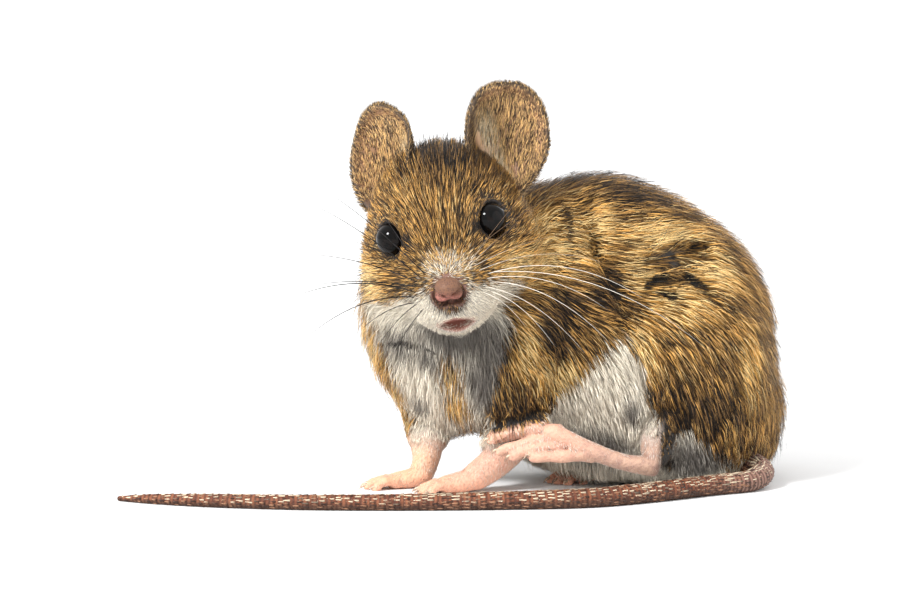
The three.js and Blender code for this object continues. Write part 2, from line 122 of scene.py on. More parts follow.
# -------------------- tones
TONES = {
    "pale undercoat": (0.50, 0.45, 0.39),
    "forepaw": (0.74, 0.43, 0.24),
    "blush": (0.74, 0.48, 0.33),
    "sole": (0.80, 0.40, 0.26),
    "snout": (0.17, 0.085, 0.062),
    "lips": (0.34, 0.15, 0.115),
    "mouth": (0.20, 0.06, 0.048),
    "painted crease shade": (0.26, 0.09, 0.055),
    "lid rim": (0.018, 0.013, 0.011),
    "worn skin": (0.30, 0.16, 0.12),
    "eye": (0.002, 0.002, 0.002),
    "eye, brown": (0.008, 0.005, 0.004),
    "nose, low": (0.33, 0.12, 0.095),
    "nose, high": (0.17, 0.085, 0.05),
    "nose, grain": (0.10, 0.05, 0.04),
    "ear": (0.24, 0.125, 0.062),
    "ear, light": (0.40, 0.23, 0.125),
    "ear, cream and painted glow": (0.62, 0.44, 0.29),
    "ear, deep": (0.20, 0.105, 0.06),
    "ear, back": (0.20, 0.12, 0.075),
    "ear, rim": (0.065, 0.045, 0.03),
    "tail, reddish": (0.12, 0.036, 0.018),
    "tail, red": (0.24, 0.085, 0.04),
    "tail, dark": (0.06, 0.03, 0.018),
    "tail, brown": (0.12, 0.06, 0.035),
    "tail, root": (0.30, 0.18, 0.14),
    "tail, groove": (0.05, 0.02, 0.013),
    "claw": (0.55, 0.40, 0.28),
    "claw, dark": (0.22, 0.13, 0.09),
    "light band": (1.0, 0.76, 0.36),
    "grey tip": (0.24, 0.215, 0.19),
    "pale root": (0.74, 0.66, 0.54),
    "grey root": (0.15, 0.135, 0.12),
    "whisker, light": (0.90, 0.84, 0.74),
    "whisker, brown": (0.16, 0.10, 0.06),
    "whisker, black": (0.006, 0.006, 0.006),
    "whisker, grey": (0.03, 0.027, 0.027),
}
FINE_HAIRS = {  # of each sort of short hair: its dark tone, its light tone and its pale tips
    "feet": ((0.60, 0.44, 0.33), (0.90, 0.82, 0.72), (0.90, 0.84, 0.76)),
    "ears": ((0.04, 0.026, 0.017), (0.86, 0.54, 0.22), (1.0, 0.86, 0.60)),
    "tail": ((0.05, 0.022, 0.014), (0.36, 0.18, 0.10), (0.80, 0.66, 0.47)),
}


def middle_of(node):
    low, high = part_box(node)
    return (np.array(low) + np.array(high)) / 2


def from_head(points):
    """Points of the head's own frame, in the frame of the solids' drawing."""
    return np.asarray(points, float) @ HEAD_TURN.T + HEAD_AT


def to_head(points):
    return (np.asarray(points, float) - HEAD_AT) @ HEAD_TURN


ORIGIN = middle_of("eye_left") - from_head(EYE["at"]) * MM


def to_row(points):
    """Millimetres of the drawing, as metres of the row frame."""
    return np.asarray(points, float) * MM + ORIGIN


def to_drawing(points):
    return (np.asarray(points, float) - ORIGIN) / MM


def smoothstep(low, high, x):
    t = np.clip((x - low) / (high - low), 0, 1)
    return t * t * (3 - 2 * t)


def unit(v):
    return v / np.maximum(np.linalg.norm(v, axis=-1, keepdims=True), 1e-12)


def near(points, at, radii, edge=0.35):
    """1 inside the ellipsoid, 0 outside it, over a soft edge."""
    reach = np.linalg.norm((points - np.array(at, float)) / np.array(radii, float), axis=1)
    return 1 - smoothstep(1 - edge, 1 + edge, reach)


def from_line(points, a, b):
    """The way to each point from the nearest place on the line from a to b."""
    a, b = np.array(a, float), np.array(b, float)
    t = np.clip((points - a) @ (b - a) / ((b - a) @ (b - a)), 0, 1)
    return points - (a + t[:, None] * (b - a))


def beside(points, a, b, width):
    """1 on the line from a to b, falling to 0 at about twice the width from it."""
    return np.exp(-(np.linalg.norm(from_line(points, a, b), axis=1) / width) ** 2)


def dimmed(colour, share):
    return tuple(c * share for c in colour)


# -------------------- settings
def colour_prop(name, description, default):
    return bpy.props.FloatVectorProperty(
        name=name, description=description, default=default, subtype="COLOR", size=3, min=0, max=1
    )


def number_prop(name, description, default, unit="NONE"):
    return bpy.props.FloatProperty(
        name=name, description=description, default=default, unit=unit, min=0
    )


def length_prop(name, description, default):
    return number_prop(name, description, default, "LENGTH")


class MouseSkinSettings(bpy.types.PropertyGroup):
    voxel: length_prop("Voxel", "Grain of the mesh that joins the flesh", 0.0002)
    seam: length_prop("Seam closing", "How far each solid is swollen to close the seams", 0.00042)
    triangles: bpy.props.IntProperty(
        name="Triangles", description="Most triangles of the skin", default=120000, min=10000
    )
    pink: colour_prop("Pink", "Bare skin of the paws and lips", (0.62, 0.33, 0.24))
    hind: colour_prop("Hind foot", "Greyer skin of the hind feet", (0.40, 0.24, 0.185))


class MouseCoatSettings(bpy.types.PropertyGroup):
    body_density: number_prop("Body density", "Hairs on each square millimetre of the body", 37.0)
    face_density: number_prop("Face density", "Hairs on each square millimetre of the face", 60.0)
    body_length: length_prop("Body length", "Length of the coat on the back", 0.0040)
    width: length_prop("Width", "Width of a hair of the body", 0.000135)
    black: colour_prop("Black", "Guard hairs and dark tips", (0.016, 0.012, 0.010))
    slate: colour_prop("Slate", "Undercoat, near the skin", (0.028, 0.024, 0.021))
    brown: colour_prop("Brown", "Plain brown hairs", (0.27, 0.145, 0.055))
    gold: colour_prop("Gold", "The bright band of the agouti hairs", (0.93, 0.50, 0.13))
    white: colour_prop("White", "Tips of the belly hairs", (0.96, 0.88, 0.73))


class MouseStageSettings(bpy.types.PropertyGroup):
    floor: colour_prop("Floor", "Colour of the floor", (0.79, 0.79, 0.79))
    studio: number_prop("Studio light", "Strength of the white room", 1.12)


# -------------------- sums in node trees
class Link:
    """A socket of a node tree on which sums are written as Python expressions."""

    def __init__(self, nodes, socket):
        self.nodes, self.socket = nodes, socket

    def is_vector(self):
        return self.socket.type in ("VECTOR", "RGBA", "ROTATION")

    def summed(self, operation, *terms):
        """A sum of the terms, on vectors if any of them is one."""
        vectors = [isinstance(t, (tuple, Vector)) or isinstance(t, Link) and t.is_vector() for t in terms]
        kind = "ShaderNodeVectorMath" if any(vectors) else "ShaderNodeMath"
        return self.nodes.make(kind, dict(enumerate(terms)), operation=operation)

    def sum(self, operation, *others):
        return self.summed(operation, self, *others)

    def __rsub__(self, other):
        return self.summed("SUBTRACT", other, self)

    __add__ = __radd__ = partialmethod(sum, "ADD")
    __sub__ = partialmethod(sum, "SUBTRACT")
    __mul__ = __rmul__ = partialmethod(sum, "MULTIPLY")
    __truediv__ = partialmethod(sum, "DIVIDE")
    __pow__ = partialmethod(sum, "POWER")
    __gt__ = partialmethod(sum, "GREATER_THAN")
    unit = partialmethod(sum, "NORMALIZE")
    cross = partialmethod(sum, "CROSS_PRODUCT")

    def times(self, number):
        """This vector, drawn out by a number."""
        return self.nodes.make("ShaderNodeVectorMath", {0: self, "Scale": number}, operation="SCALE")

    def rising(self, low, high):
        """0 below low, 1 above high, and smooth between them."""
        inputs = {"Value": self, "From Min": low, "From Max": high}
        return self.nodes.make("ShaderNodeMapRange", inputs, interpolation_type="SMOOTHSTEP")

    def between(self, a, b):
        """The colour a where this is 0, and b where it is 1."""
        inputs = {0: self, 1: a, 2: b}
        return self.nodes.make("ShaderNodeMix", inputs, data_type="RGBA", clamp_factor=True)

    def part(self, axis):
        return self.nodes.make("ShaderNodeSeparateXYZ", {0: self}, output="XYZ"[axis])


class Nodes:
    """Makes nodes in a tree: settings first, then the values or links of the shown sockets."""

    def __init__(self, tree):
        self.tree = tree
        tree.nodes.clear()

    def make(self, kind, inputs=None, output=0, **settings):
        node = self.tree.nodes.new(kind)
        for name, value in settings.items():
            setattr(node, name, value)
        for key, value in (inputs or {}).items():
            self.feed(self.shown(node.inputs, key), value)
        return Link(self, self.shown(node.outputs, output))

    @staticmethod
    def shown(sockets, key):
        usable = [s for s in sockets if s.enabled]
        return usable[key] if isinstance(key, int) else next(s for s in usable if s.name == key)

    def feed(self, socket, value):
        if isinstance(value, Link):
            self.tree.links.new(value.socket, socket)
        elif socket.type == "RGBA" and len(value) == 3:
            socket.default_value = (*value, 1)
        elif socket.type == "VECTOR" and isinstance(value, (int, float)):
            socket.default_value = (value, value, value)
        else:
            socket.default_value = value


class Finish(Nodes):
    """A material of one Principled shader, whose patterns read the piece's own place."""

    def __init__(self, name, **constants):
        self.material = bpy.data.materials.new(name)
        self.material.use_nodes = True
        super().__init__(self.material.node_tree)
        self.shader = self.tree.nodes.new("ShaderNodeBsdfPrincipled")
        out = self.tree.nodes.new("ShaderNodeOutputMaterial")
        self.tree.links.new(self.shader.outputs[0], out.inputs["Surface"])
        for key, value in constants.items():
            self.feed(self.shader.inputs[key.replace("_", " ")], value)
        self.place = self.make("ShaderNodeTexCoord", output="Object")

    def noise(self, grain, detail=2):
        """Noise whose grain is about so many millimetres."""
        inputs = {"Vector": self.place, "Scale": 1000 / grain, "Detail": detail}
        return self.make("ShaderNodeTexNoise", inputs)

    def cells(self, grain):
        """How far each point is from the middle of its cell, in cells of about so many millimetres."""
        return self.make("ShaderNodeTexVoronoi", {"Vector": self.place, "Scale": 1000 / grain}, feature="F1")

    def attribute(self, name):
        return self.make("ShaderNodeAttribute", output="Fac", attribute_name=name, attribute_type="GEOMETRY")

    def coloured(self, colour, roughness=None):
        self.feed(self.shader.inputs["Base Color"], colour)
        if roughness is not None:
            self.feed(self.shader.inputs["Roughness"], roughness)

    def bumped(self, height, depth):
        """Relief of `depth` millimetres."""
        bump = self.make("ShaderNodeBump", {"Strength": 1.0, "Distance": depth * MM, "Height": height})
        self.feed(self.shader.inputs["Normal"], bump)


class GeometryTree(Nodes):
    """A tree that takes a geometry and the named inputs, one of them a finish, and gives a geometry."""

    def __init__(self, name, inputs):
        tree = bpy.data.node_groups.new(name, "GeometryNodeTree")
        super().__init__(tree)
        for way in ("INPUT", "OUTPUT"):
            tree.interface.new_socket("Geometry", in_out=way, socket_type="NodeSocketGeometry")
        for key, kind in inputs.items():
            tree.interface.new_socket(key, in_out="INPUT", socket_type="NodeSocket" + kind)
        self.input = tree.nodes.new("NodeGroupInput")

    def given(self, name):
        return Link(self, self.input.outputs[name])

    def kept(self, geometry, name, value, kind="FLOAT", domain="POINT"):
        """The geometry, with a value stored on it."""
        inputs = {"Geometry": geometry, "Name": name, "Value": value}
        return self.make("GeometryNodeStoreNamedAttribute", inputs, data_type=kind, domain=domain)

    def give(self, geometry):
        """Ends the tree with a geometry, in the finish that it is given."""
        inputs = {"Geometry": geometry, "Material": self.given("Finish")}
        whole = self.make("GeometryNodeSetMaterial", inputs)
        self.tree.links.new(whole.socket, self.tree.nodes.new("NodeGroupOutput").inputs[0])


# -------------------- meshes
def placed(name, data):
    """An object in the scene."""
    piece = bpy.data.objects.new(name, data)
    bpy.context.scene.collection.objects.link(piece)
    return piece


def new_object(name, mesh, material=None, smooth=True):
    piece = placed(name, mesh)
    if material:
        mesh.materials.clear()
        mesh.materials.append(material)
    if smooth:
        mesh.shade_smooth()
    return piece


def mesh_from(name, points, faces):
    """A mesh of millimetre points in the drawing's frame."""
    mesh = bpy.data.meshes.new(name)
    mesh.from_pydata(to_row(points).tolist(), [], [list(map(int, f)) for f in faces])
    mesh.update()
    return mesh


def mesh_of(shape, name):
    """A bmesh as a mesh of its own; the bmesh goes."""
    mesh = bpy.data.meshes.new(name)
    shape.to_mesh(mesh)
    shape.free()
    return mesh


def read(items, field, width, kind=np.float32):
    """A field of all of a mesh's vertices, edges or triangles, as rows."""
    values = np.empty(len(items) * width, kind)
    items.foreach_get(field, values)
    return values.reshape(-1, width)


def places_of(mesh):
    return read(mesh.vertices, "co", 3).astype(float)


def normals_of(mesh):
    return read(mesh.vertex_normals, "vector", 3).astype(float)


def edges_of(mesh):
    return read(mesh.edges, "vertices", 2, np.int32)


def triangles_of(mesh):
    mesh.calc_loop_triangles()
    return read(mesh.loop_triangles, "vertices", 3, np.int32)


def set_places(mesh, places):
    mesh.vertices.foreach_set("co", np.asarray(places, np.float32).ravel())
    mesh.update()


def keep(mesh, **stored):
    """Stores numbers or vectors for each vertex, by their names."""
    for name, values in stored.items():
        values = np.asarray(values, np.float32)
        kind, field = ("FLOAT", "value") if values.ndim == 1 else ("FLOAT_VECTOR", "vector")
        made = mesh.attributes.get(name) or mesh.attributes.new(name, kind, "POINT")
        made.data.foreach_set(field, values.ravel())


def flattened(piece):
    """The mesh that a piece's modifiers make of it; the piece itself goes."""
    graph = bpy.context.evaluated_depsgraph_get()
    whole = piece.evaluated_get(graph)
    mesh = bpy.data.meshes.new_from_object(whole, preserve_all_data_layers=True, depsgraph=graph)
    bpy.data.objects.remove(piece)
    return mesh


def grown(tree, piece, **inputs):
    """The mesh that a tree makes of a piece; the piece itself goes."""
    grow = piece.modifiers.new("growth", "NODES")
    grow.node_group = tree
    sockets = {s.name: s.identifier for s in tree.interface.items_tree if s.in_out == "INPUT"}
    for key, value in inputs.items():
        grow[sockets[key.capitalize()]] = value
    piece.update_tag()
    return flattened(piece)


def finished(piece, slot, *replaced):
    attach(piece, "root")
    if replaced:
        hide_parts(*replaced)


def smooth_path(points, steps):
    """A curve through the points, evenly stepped, with each step's place on the list of points."""
    p = np.asarray(points, float)
    p = np.vstack([2 * p[0] - p[1], p, 2 * p[-1] - p[-2]])
    gaps = np.linalg.norm(np.diff(p, axis=0), axis=1) ** 0.5
    spots, marks = [], []
    for i in range(1, len(p) - 2):
        a, b, c, d = p[i - 1 : i + 3]
        before, here, after = gaps[i - 1 : i + 2]
        start = ((b - a) / before - (c - a) / (before + here) + (c - b) / here) * here
        end = ((c - b) / here - (d - b) / (here + after) + (d - c) / after) * here
        t = np.linspace(0, 1, 40, endpoint=False)[:, None]
        fast, slow = t**3 - 2 * t**2 + t, t**3 - t**2
        rise = 3 * t**2 - 2 * t**3
        spots.append(b * (1 - rise) + c * rise + start * fast + end * slow)
        marks.append(i - 1 + t[:, 0])
    spots = np.vstack([*spots, p[-2][None]])
    marks = np.concatenate([*marks, [len(p) - 3]])
    run = np.concatenate([[0], np.cumsum(np.linalg.norm(np.diff(spots, axis=0), axis=1))])
    even = np.linspace(0, run[-1], steps)
    return np.stack([np.interp(even, run, s) for s in spots.T], 1), np.interp(even, run, marks)


def tube(points, radii, sides=12, steps=16, flat=1.0, up=(0, 0, 1), relief=None):
    """A closed tube with rounded ends: its points, its faces, and each point's run along it."""
    path, marks = smooth_path(points, steps)
    radius = np.interp(marks, np.linspace(0, len(points) - 1, len(radii)), radii)
    if relief is not None:
        radius = radius * relief
    tangent = unit(np.gradient(path, axis=0))
    side = unit(np.cross(tangent, np.array(up, float)))
    back = np.cross(side, tangent)
    cap = np.sin(np.linspace(0, np.pi / 2, 5))[1:-1]
    fronts = [(0, -math.sqrt(1 - c * c), c) for c in cap]
    ends = [(steps - 1, math.sqrt(1 - c * c), c) for c in cap[::-1]]
    rows = fronts + [(i, 0.0, 1.0) for i in range(steps)] + ends
    turn = np.linspace(0, 2 * np.pi, sides, endpoint=False)
    rings = []
    for i, past, share in rows:
        centre = path[i] + tangent[i] * past * radius[i] * min(1, flat)
        out = np.outer(np.cos(turn), side[i]) + np.outer(np.sin(turn) * flat, back[i])
        rings.append(centre + out * radius[i] * share)
    first = path[0] - tangent[0] * radius[0] * min(1, flat)
    last = path[-1] + tangent[-1] * radius[-1] * min(1, flat)
    vertices = np.vstack([first[None], *rings, last[None]])
    along = np.concatenate([[0], np.repeat([i / (steps - 1) for i, _, _ in rows], sides), [1]])
    faces = [(0, 1 + (k + 1) % sides, 1 + k) for k in range(sides)]
    for row in range(len(rows) - 1):
        a, b = 1 + row * sides, 1 + (row + 1) * sides
        faces += [(a + k, a + (k + 1) % sides, b + (k + 1) % sides, b + k) for k in range(sides)]
    tip = len(vertices) - 1
    faces += [(tip, tip - sides + k, tip - sides + (k + 1) % sides) for k in range(sides)]
    return vertices, faces, along


def round_ball(level):
    """The points and faces of a ball of radius 1."""
    ball = bmesh.new()
    bmesh.ops.create_icosphere(ball, subdivisions=level, radius=1)
    points = np.array([v.co for v in ball.verts])
    faces = [[v.index for v in f.verts] for f in ball.faces]
    ball.free()
    return points, faces


def gathered(pieces):
    """Several (points, faces) as one."""
    points, faces, start = [], [], 0
    for piece in pieces:
        points.append(piece[0])
        faces += [tuple(i + start for i in f) for f in piece[1]]
        start += len(piece[0])
    return np.vstack(points), faces


# -------------------- limbs
def fan(root, heading, spread, width, lengths):
    """Digits of a foot that rests on the floor, which fan out from its front end."""
    knuckle, tip = 0.95, 0.5
    side = np.array([-math.sin(math.radians(heading)), math.cos(math.radians(heading))])
    digits = []
    for i, length in enumerate(lengths):
        share = i / (len(lengths) - 1) - 0.5
        angle = math.radians(heading + share * spread)
        start = np.array(root) + side * share * width
        out = np.array([math.cos(angle), math.sin(angle)]) * length
        digits.append([(*(start + out * t), z) for t, z in ((-0.15, 1.0), (0.55, knuckle), (1, tip))])
    return digits


FEET = {
    "forepaw_left": {
        "sole": [(3.6, -2.6, 1.7), (1.4, -3.1, 1.25), (-0.7, -3.6, 0.95)],
        "radii": [1.75, 1.75, 1.45],
        "digits": fan((-0.8, -3.6), 190, 44, 2.5, (1.9, 2.7, 2.8, 2.1)),
    },
    "forepaw_right": {
        "sole": [(-3.3, 0.8, 1.5), (-5.1, 0.5, 1.15), (-6.9, 0.2, 0.9)],
        "radii": [1.6, 1.6, 1.35],
        "digits": fan((-7, 0.2), 182, 44, 2.4, (2, 3, 3.1, 2.3)),
    },
    "hind_foot_right": {
        "sole": [(27.4, 17.6, 1.5), (22.4, 12.6, 1.3), (16.6, 6.8, 1)],
        "radii": [1.9, 1.6, 1.8],
        "digits": fan((16.6, 6.9), 226, 34, 3.2, (2.8, 4.4, 4.7, 4.4, 2.6)),
    },
    "hind_foot_left": {
        "sole": [(24.6, -4.6, 3.4), (21.2, -5.1, 3.9), (16.8, -5.5, 5.5), (12.4, -5.7, 7.6)],
        "radii": [1.5, 1.2, 1.3, 1.4],
        "flat": 0.85,
        "digits": [
            [(13.2, -5, 8), (9.2, -5, 7.7), (5, -4.9, 6.7)],
            [(13.2, -5.6, 7.1), (9.4, -5.9, 6.5), (6, -5.8, 5.5)],
            [(13.4, -6, 6.3), (9.9, -6.3, 5.8), (7.6, -6.3, 4.9)],
            [(16.8, -5.8, 5), (13.2, -6.8, 4.8), (10, -7, 4.9)],
            [(15.2, -4.7, 5.9), (12, -4.2, 5.2), (9.8, -4, 4.8)],
        ],
        "stout": (1, 1.15, 1.25, 1.25, 1.1),
    },
}
LOWER_LEGS = {
    "forearm_left": {
        "points": [(9.2, 0.4, 10), (7.9, -0.8, 6.6), (5.5, -2, 3.6), (3.2, -2.7, 1.9)],
        "radii": [3.4, 2.7, 2.05, 1.75],
    },
    "forearm_right": {
        "points": [(-2.6, 5.4, 9.4), (-2.8, 3.4, 6), (-3, 1.6, 3.2), (-3.5, 0.9, 1.7)],
        "radii": [3.2, 2.3, 1.65, 1.5],
    },
    "shank_left": {
        "points": [(27.2, 0.5, 12), (26, -2.4, 7.8), (24.9, -4.2, 4.2)],
        "radii": [3.4, 2.2, 1.5],
    },
}
DIGIT_RADII = [0.66, 0.64, 0.56, 0.66, 0.54, 0.50, 0.60, 0.44]
CLAW = {"length": 1.15, "radius": 0.24, "drop": 0.3}


def limb_meshes():
    """The lower legs and the feet, with knuckles, toe pads and the pads of the soles."""
    made = []
    for leg in LOWER_LEGS.values():
        made.append(tube(leg["points"], leg["radii"], sides=20, up=(0, 1, 0))[:2])
    for name, foot in FEET.items():
        made.append(tube(foot["sole"], foot["radii"], sides=20, flat=foot.get("flat", 0.75))[:2])
        under = 0.42 if name != "hind_foot_left" else 0.55
        for digit, stout in zip(foot["digits"], foot.get("stout", (1, 1, 1, 1, 1))):
            radii = [radius * stout for radius in DIGIT_RADII]
            made.append(tube(digit, radii, sides=12, steps=20)[:2])
            for share in (0.0, 1.0):  # a pad under the knuckle and one under the tip
                at = np.array(digit[0]) * (1 - share) + np.array(digit[-1]) * share
                low = at - [0, 0, under * stout]
                made.append(tube([low - [0.2, 0, 0], low + [0.2, 0, 0]], [0.5, 0.5], 10, 3)[:2])
    return made


def limb_reach(points, names):
    """How many of its own radii each point is from the nearest of the named limbs."""
    best = np.full(len(points), 9.0)
    for name in names:
        if name in LOWER_LEGS:
            lines = [(LOWER_LEGS[name]["points"], LOWER_LEGS[name]["radii"])]
        else:
            foot = FEET[name]
            lines = [(foot["sole"], foot["radii"])] + [(d, (0.75, 0.7, 0.65)) for d in foot["digits"]]
        for line, radii in lines:
            path, marks = smooth_path(line, 14)
            widths = np.interp(marks, np.linspace(0, len(line) - 1, len(radii)), radii)
            for spot, width in zip(path, widths):
                best = np.minimum(best, np.linalg.norm(points - spot, axis=1) / width)
    return best


def limbness(points):
    """1 on the lower legs and feet, 0 on the trunk."""
    return 1 - smoothstep(1.15, 1.6, limb_reach(points, [*LOWER_LEGS, *FEET]))


def bareness(points):
    """1 on the paws, feet and wrists, 0 where the coat covers the legs."""
    feet = 1 - smoothstep(1.15, 1.55, limb_reach(points, FEET))
    wrists = 1 - smoothstep(1.1, 1.4, limb_reach(points, ["forearm_left", "forearm_right"]))
    heel = 1 - smoothstep(1.1, 1.5, limb_reach(points, ["shank_left"]))
    wrists *= 1 - smoothstep(3.6, 8.4, points[:, 2])
    heel *= 1 - smoothstep(5.0, 9.6, points[:, 2])
    behind = smoothstep(24.9, 26.1, points[:, 0]) * (1 - smoothstep(4.0, 7.0, points[:, 1]))
    return np.maximum(np.maximum(feet, heel) * (1 - behind), wrists)


# -------------------- markings and lie of the coat
PALE_SHAPES = [  # outlines of the whitish parts, seen from the front: corners of x and height
    [
        (-11.4, 22.4), (-9.2, 16.9), (-7.2, 12.5), (-5, 9), (-1, 5),
        (3.4, 6.5), (7.6, 20.5), (6, 24),
    ],
    [(10.4, 7), (24, -2), (25.6, 7), (21.6, 18.6), (20.6, 18.2)],
    [(27, -2), (36.4, -2), (32.8, 3.4), (29.4, 6.8), (27, 6.8)],
]
PALE_PLACES = [
    ((-3, 1.2, 5.6), (2.4, 2.6, 2.6)),  # right wrist
    ((5.4, -2.2, 5.6), (2.6, 2.4, 2)),  # left wrist
    ((20, 6, 0.6), (17, 16, 4)),  # belly
    ((-9.8, -1.6, 21.4), (2.2, 3, 1.8)),  # under the right cheek
]
BROWN_PLACES = [  # brown patches inside the pale ones
    ((-0.2, -4.9, 13.6), (1.7, 3, 2.6)),  # chest
    ((0.8, -2.4, 9.4), (1.9, 2.6, 2.8)),  # chest, low
    ((26.4, -4.2, 5.4), (1.1, 3, 3)),  # heel
]
GOLD_AND_HIGHLIGHT_PLACES = [  # where the bright bands of the hairs show most, with painted highlights on the shoulder, the neck and the ridges and edges of the flank, thigh and haunch
    ((9.4, -7, 27.6), (4.6, 4, 2.6)),  # left cheek
    ((-0.4, -14, 28.6), (3.4, 4, 2.2)),  # nose
    ((12.6, -2.4, 29.6), (2.2, 3, 4)),  # neck
    ((12.2, -0.4, 33.6), (1.8, 3.2, 2.8)),  # behind the cheek
    ((-10.4, -2, 25), (2.6, 4.6, 3.6)),  # right cheek
    ((-10, 1.7, 16.6), (1.6, 3.6, 5)),  # side of the chest
    ((-6.4, 2.2, 9.2), (1.8, 3, 4)),  # right arm
    ((0.4, -4, 10.4), (1.5, 3, 3.4)),  # chest, low
    ((18.2, -0.6, 32.2), (2.4, 3.4, 4.4)),  # shoulder
    ((26.8, 0.6, 31.4), (6.4, 3.6, 1.9)),  # ridge over the flank
    ((23.6, -2.4, 27.6), (1.5, 3, 3.4)),  # edge of the flank
    ((33.4, 0.6, 27.4), (2.8, 3.6, 3.4)),  # behind the partings
    ((28.6, -2.6, 22.6), (3.6, 3.4, 2.4)),  # above the thigh
    ((23.4, -4.4, 17), (1.7, 3, 4.4)),  # front of the thigh
    ((36.6, -0.6, 14.6), (1.7, 3, 4.4)),  # edge of the haunch
    ((13.6, -4.4, 13.4), (3.4, 2.4, 2.4)),  # edge of the side
    ((9.6, -6.2, 17.6), (1.6, 2.4, 3.6)),  # front of the arm
]
DARK_AND_SHADE_PLACES = [  # where the black tips show most and the slate roots of the pale hairs, with painted shade in the hollows and under the chin, arm, haunch and foot
    ((1, -2.6, 41), (6.5, 5.5, 2.2)),  # crown
    ((14.6, 0.4, 33.4), (1.1, 3, 3.2)),  # behind the neck
    ((25.4, 3.6, 36.6), (6, 3.4, 1.8)),  # back
    ((31, -3, 9.6), (5.4, 3.4, 2.6)),  # haunch, low
    ((9.4, -6, 10), (2.6, 2.6, 1.1)),  # arm, low
    ((30.4, -2.6, 3.2), (4, 3.2, 2.6)),  # under the haunch
    ((19.2, -3.2, 24.8), (1.2, 2.4, 3.4)),  # before the flank
    ((13.4, -4.8, 20.4), (2.4, 2.4, 5)),  # behind the arm
    ((20, 9, 38.6), (16, 4, 1.9)),  # spine
    ((-3.9, -0.4, 9.4), (1, 1.4, 1.3)),  # right arm
    ((26.6, -4.4, 5.6), (1.4, 2, 3)),  # heel
    ((1.4, -6, 18.6), (6.4, 2.8, 2.6)),  # under the chin
    ((5.2, -6.4, 17.6), (2.6, 2.2, 2.6)),  # beside the arm
    ((3.8, -5.6, 13), (2.2, 3.2, 4.2)),  # beside the arm, low
    ((-6.4, -2.6, 17.7), (2.6, 2.6, 0.7)),  # throat
    ((-6.2, -2.8, 15.6), (1.5, 2.4, 0.9)),  # chest, right
    ((-2.8, -4.4, 14.9), (1.6, 2.4, 1.1)),  # chest, middle
    ((17.6, -2.6, 4), (4.6, 3, 2.2)),  # behind the foot
    ((22.4, -4.4, 8.8), (1.4, 2, 1.8)),  # before the thigh
]
PARTINGS = [  # from, to, width: where the coat opens down to its slate roots, darkened there further as painted shade
    ((24.2, -2, 28.2), (26.9, -0.8, 29.1), 0.5),
    ((26.9, -0.8, 29.1), (30.2, 1.7, 29.8), 0.75),
    ((24.2, -2.8, 25.3), (26.2, -2.1, 26.2), 0.46),
    ((25.6, -2.8, 24.4), (27.2, -2.8, 23.9), 0.36),
    ((29, -1.4, 26.1), (31.3, -1.7, 24.7), 0.42),
    ((14.2, 0.6, 34.6), (14.8, -1.4, 30.8), 0.42),
    ((-8.6, -1.5, 17.8), (-6.1, -3.8, 18.1), 0.24),
    ((-6.1, -3.8, 18.1), (-3.6, -5.1, 17.8), 0.32),
    ((-3.6, -5.1, 17.8), (-1.8, -5.4, 17.2), 0.2),
]
FOLDS = [  # from, to, width, depth: hollows between the masses of the body
    ((15.6, 2, 36.4), (17, -2, 30.4), 1.7, 1),
    ((17, -2, 30.4), (20.4, -3.8, 22), 2.2, 1.3),
    ((14, -5, 22), (13.4, -5.4, 13), 1.5, 0.8),
    ((22.2, -4.4, 15), (24.6, -5, 7.4), 1.6, 0.8),
    ((-8.6, -1.5, 17.8), (-3.6, -5.1, 17.9), 0.9, 0.7),
    ((24.6, -1.8, 28), (31.1, 2.5, 30), 0.8, 0.5),
]
# The form of the coat: lengths in millimetres, and the rest as shares of a hair's length.
CREST = ((0, 2.0, 9.6), (5.6, 4.6, 2.6))  # between the ears, in the head's frame
CHEEK = ((-10.0, -1.0, -3.6), (4.0, 6.0, 5.6))  # the right one, in the head's frame
LOWER_ARM = ((9, -5, 11), (6, 5, 7))
BELLY_FUR = ((16.5, 2.0, 3.0), (5.0, 5.0, 2.8))
HANGING_FUR = ((16.0, 1.0, 3.0), (5.0, 4.5, 2.4))
FUR_BEHIND_FOOT = ((20, -2.6, 2.4), (9.0, 3.0, 2.6))
LENGTH = {"at_nose": 0.45, "growth": 0.2, "grows": (1, 17), "belly": 2.4, "arm": 0.25, "limb": 0.55}
LEAST = {"eye": 0.3, "mouth": 0.2, "low": 0.7, "floor": 0.6, "foot": 0.35}
STAND = {"face": 0.26, "body": 0.50, "limb": 0.22, "crest": 0.28, "cheek": 0.12, "hanging": 1.6, "far": 0.35}
LIFT = {"body": 1.3, "crest": 2.6, "cheek": 1.3}
BARE = {"length": 0.95, "height": 0.2, "density": 15.0}
PARTED = {"height": 0.8, "density": 0.45, "turned": 0.8}
SKIN_DEPTH = {"face": 0.25, "growth": 0.05, "body": 1.95, "low": 0.45, "limb": 0.8}
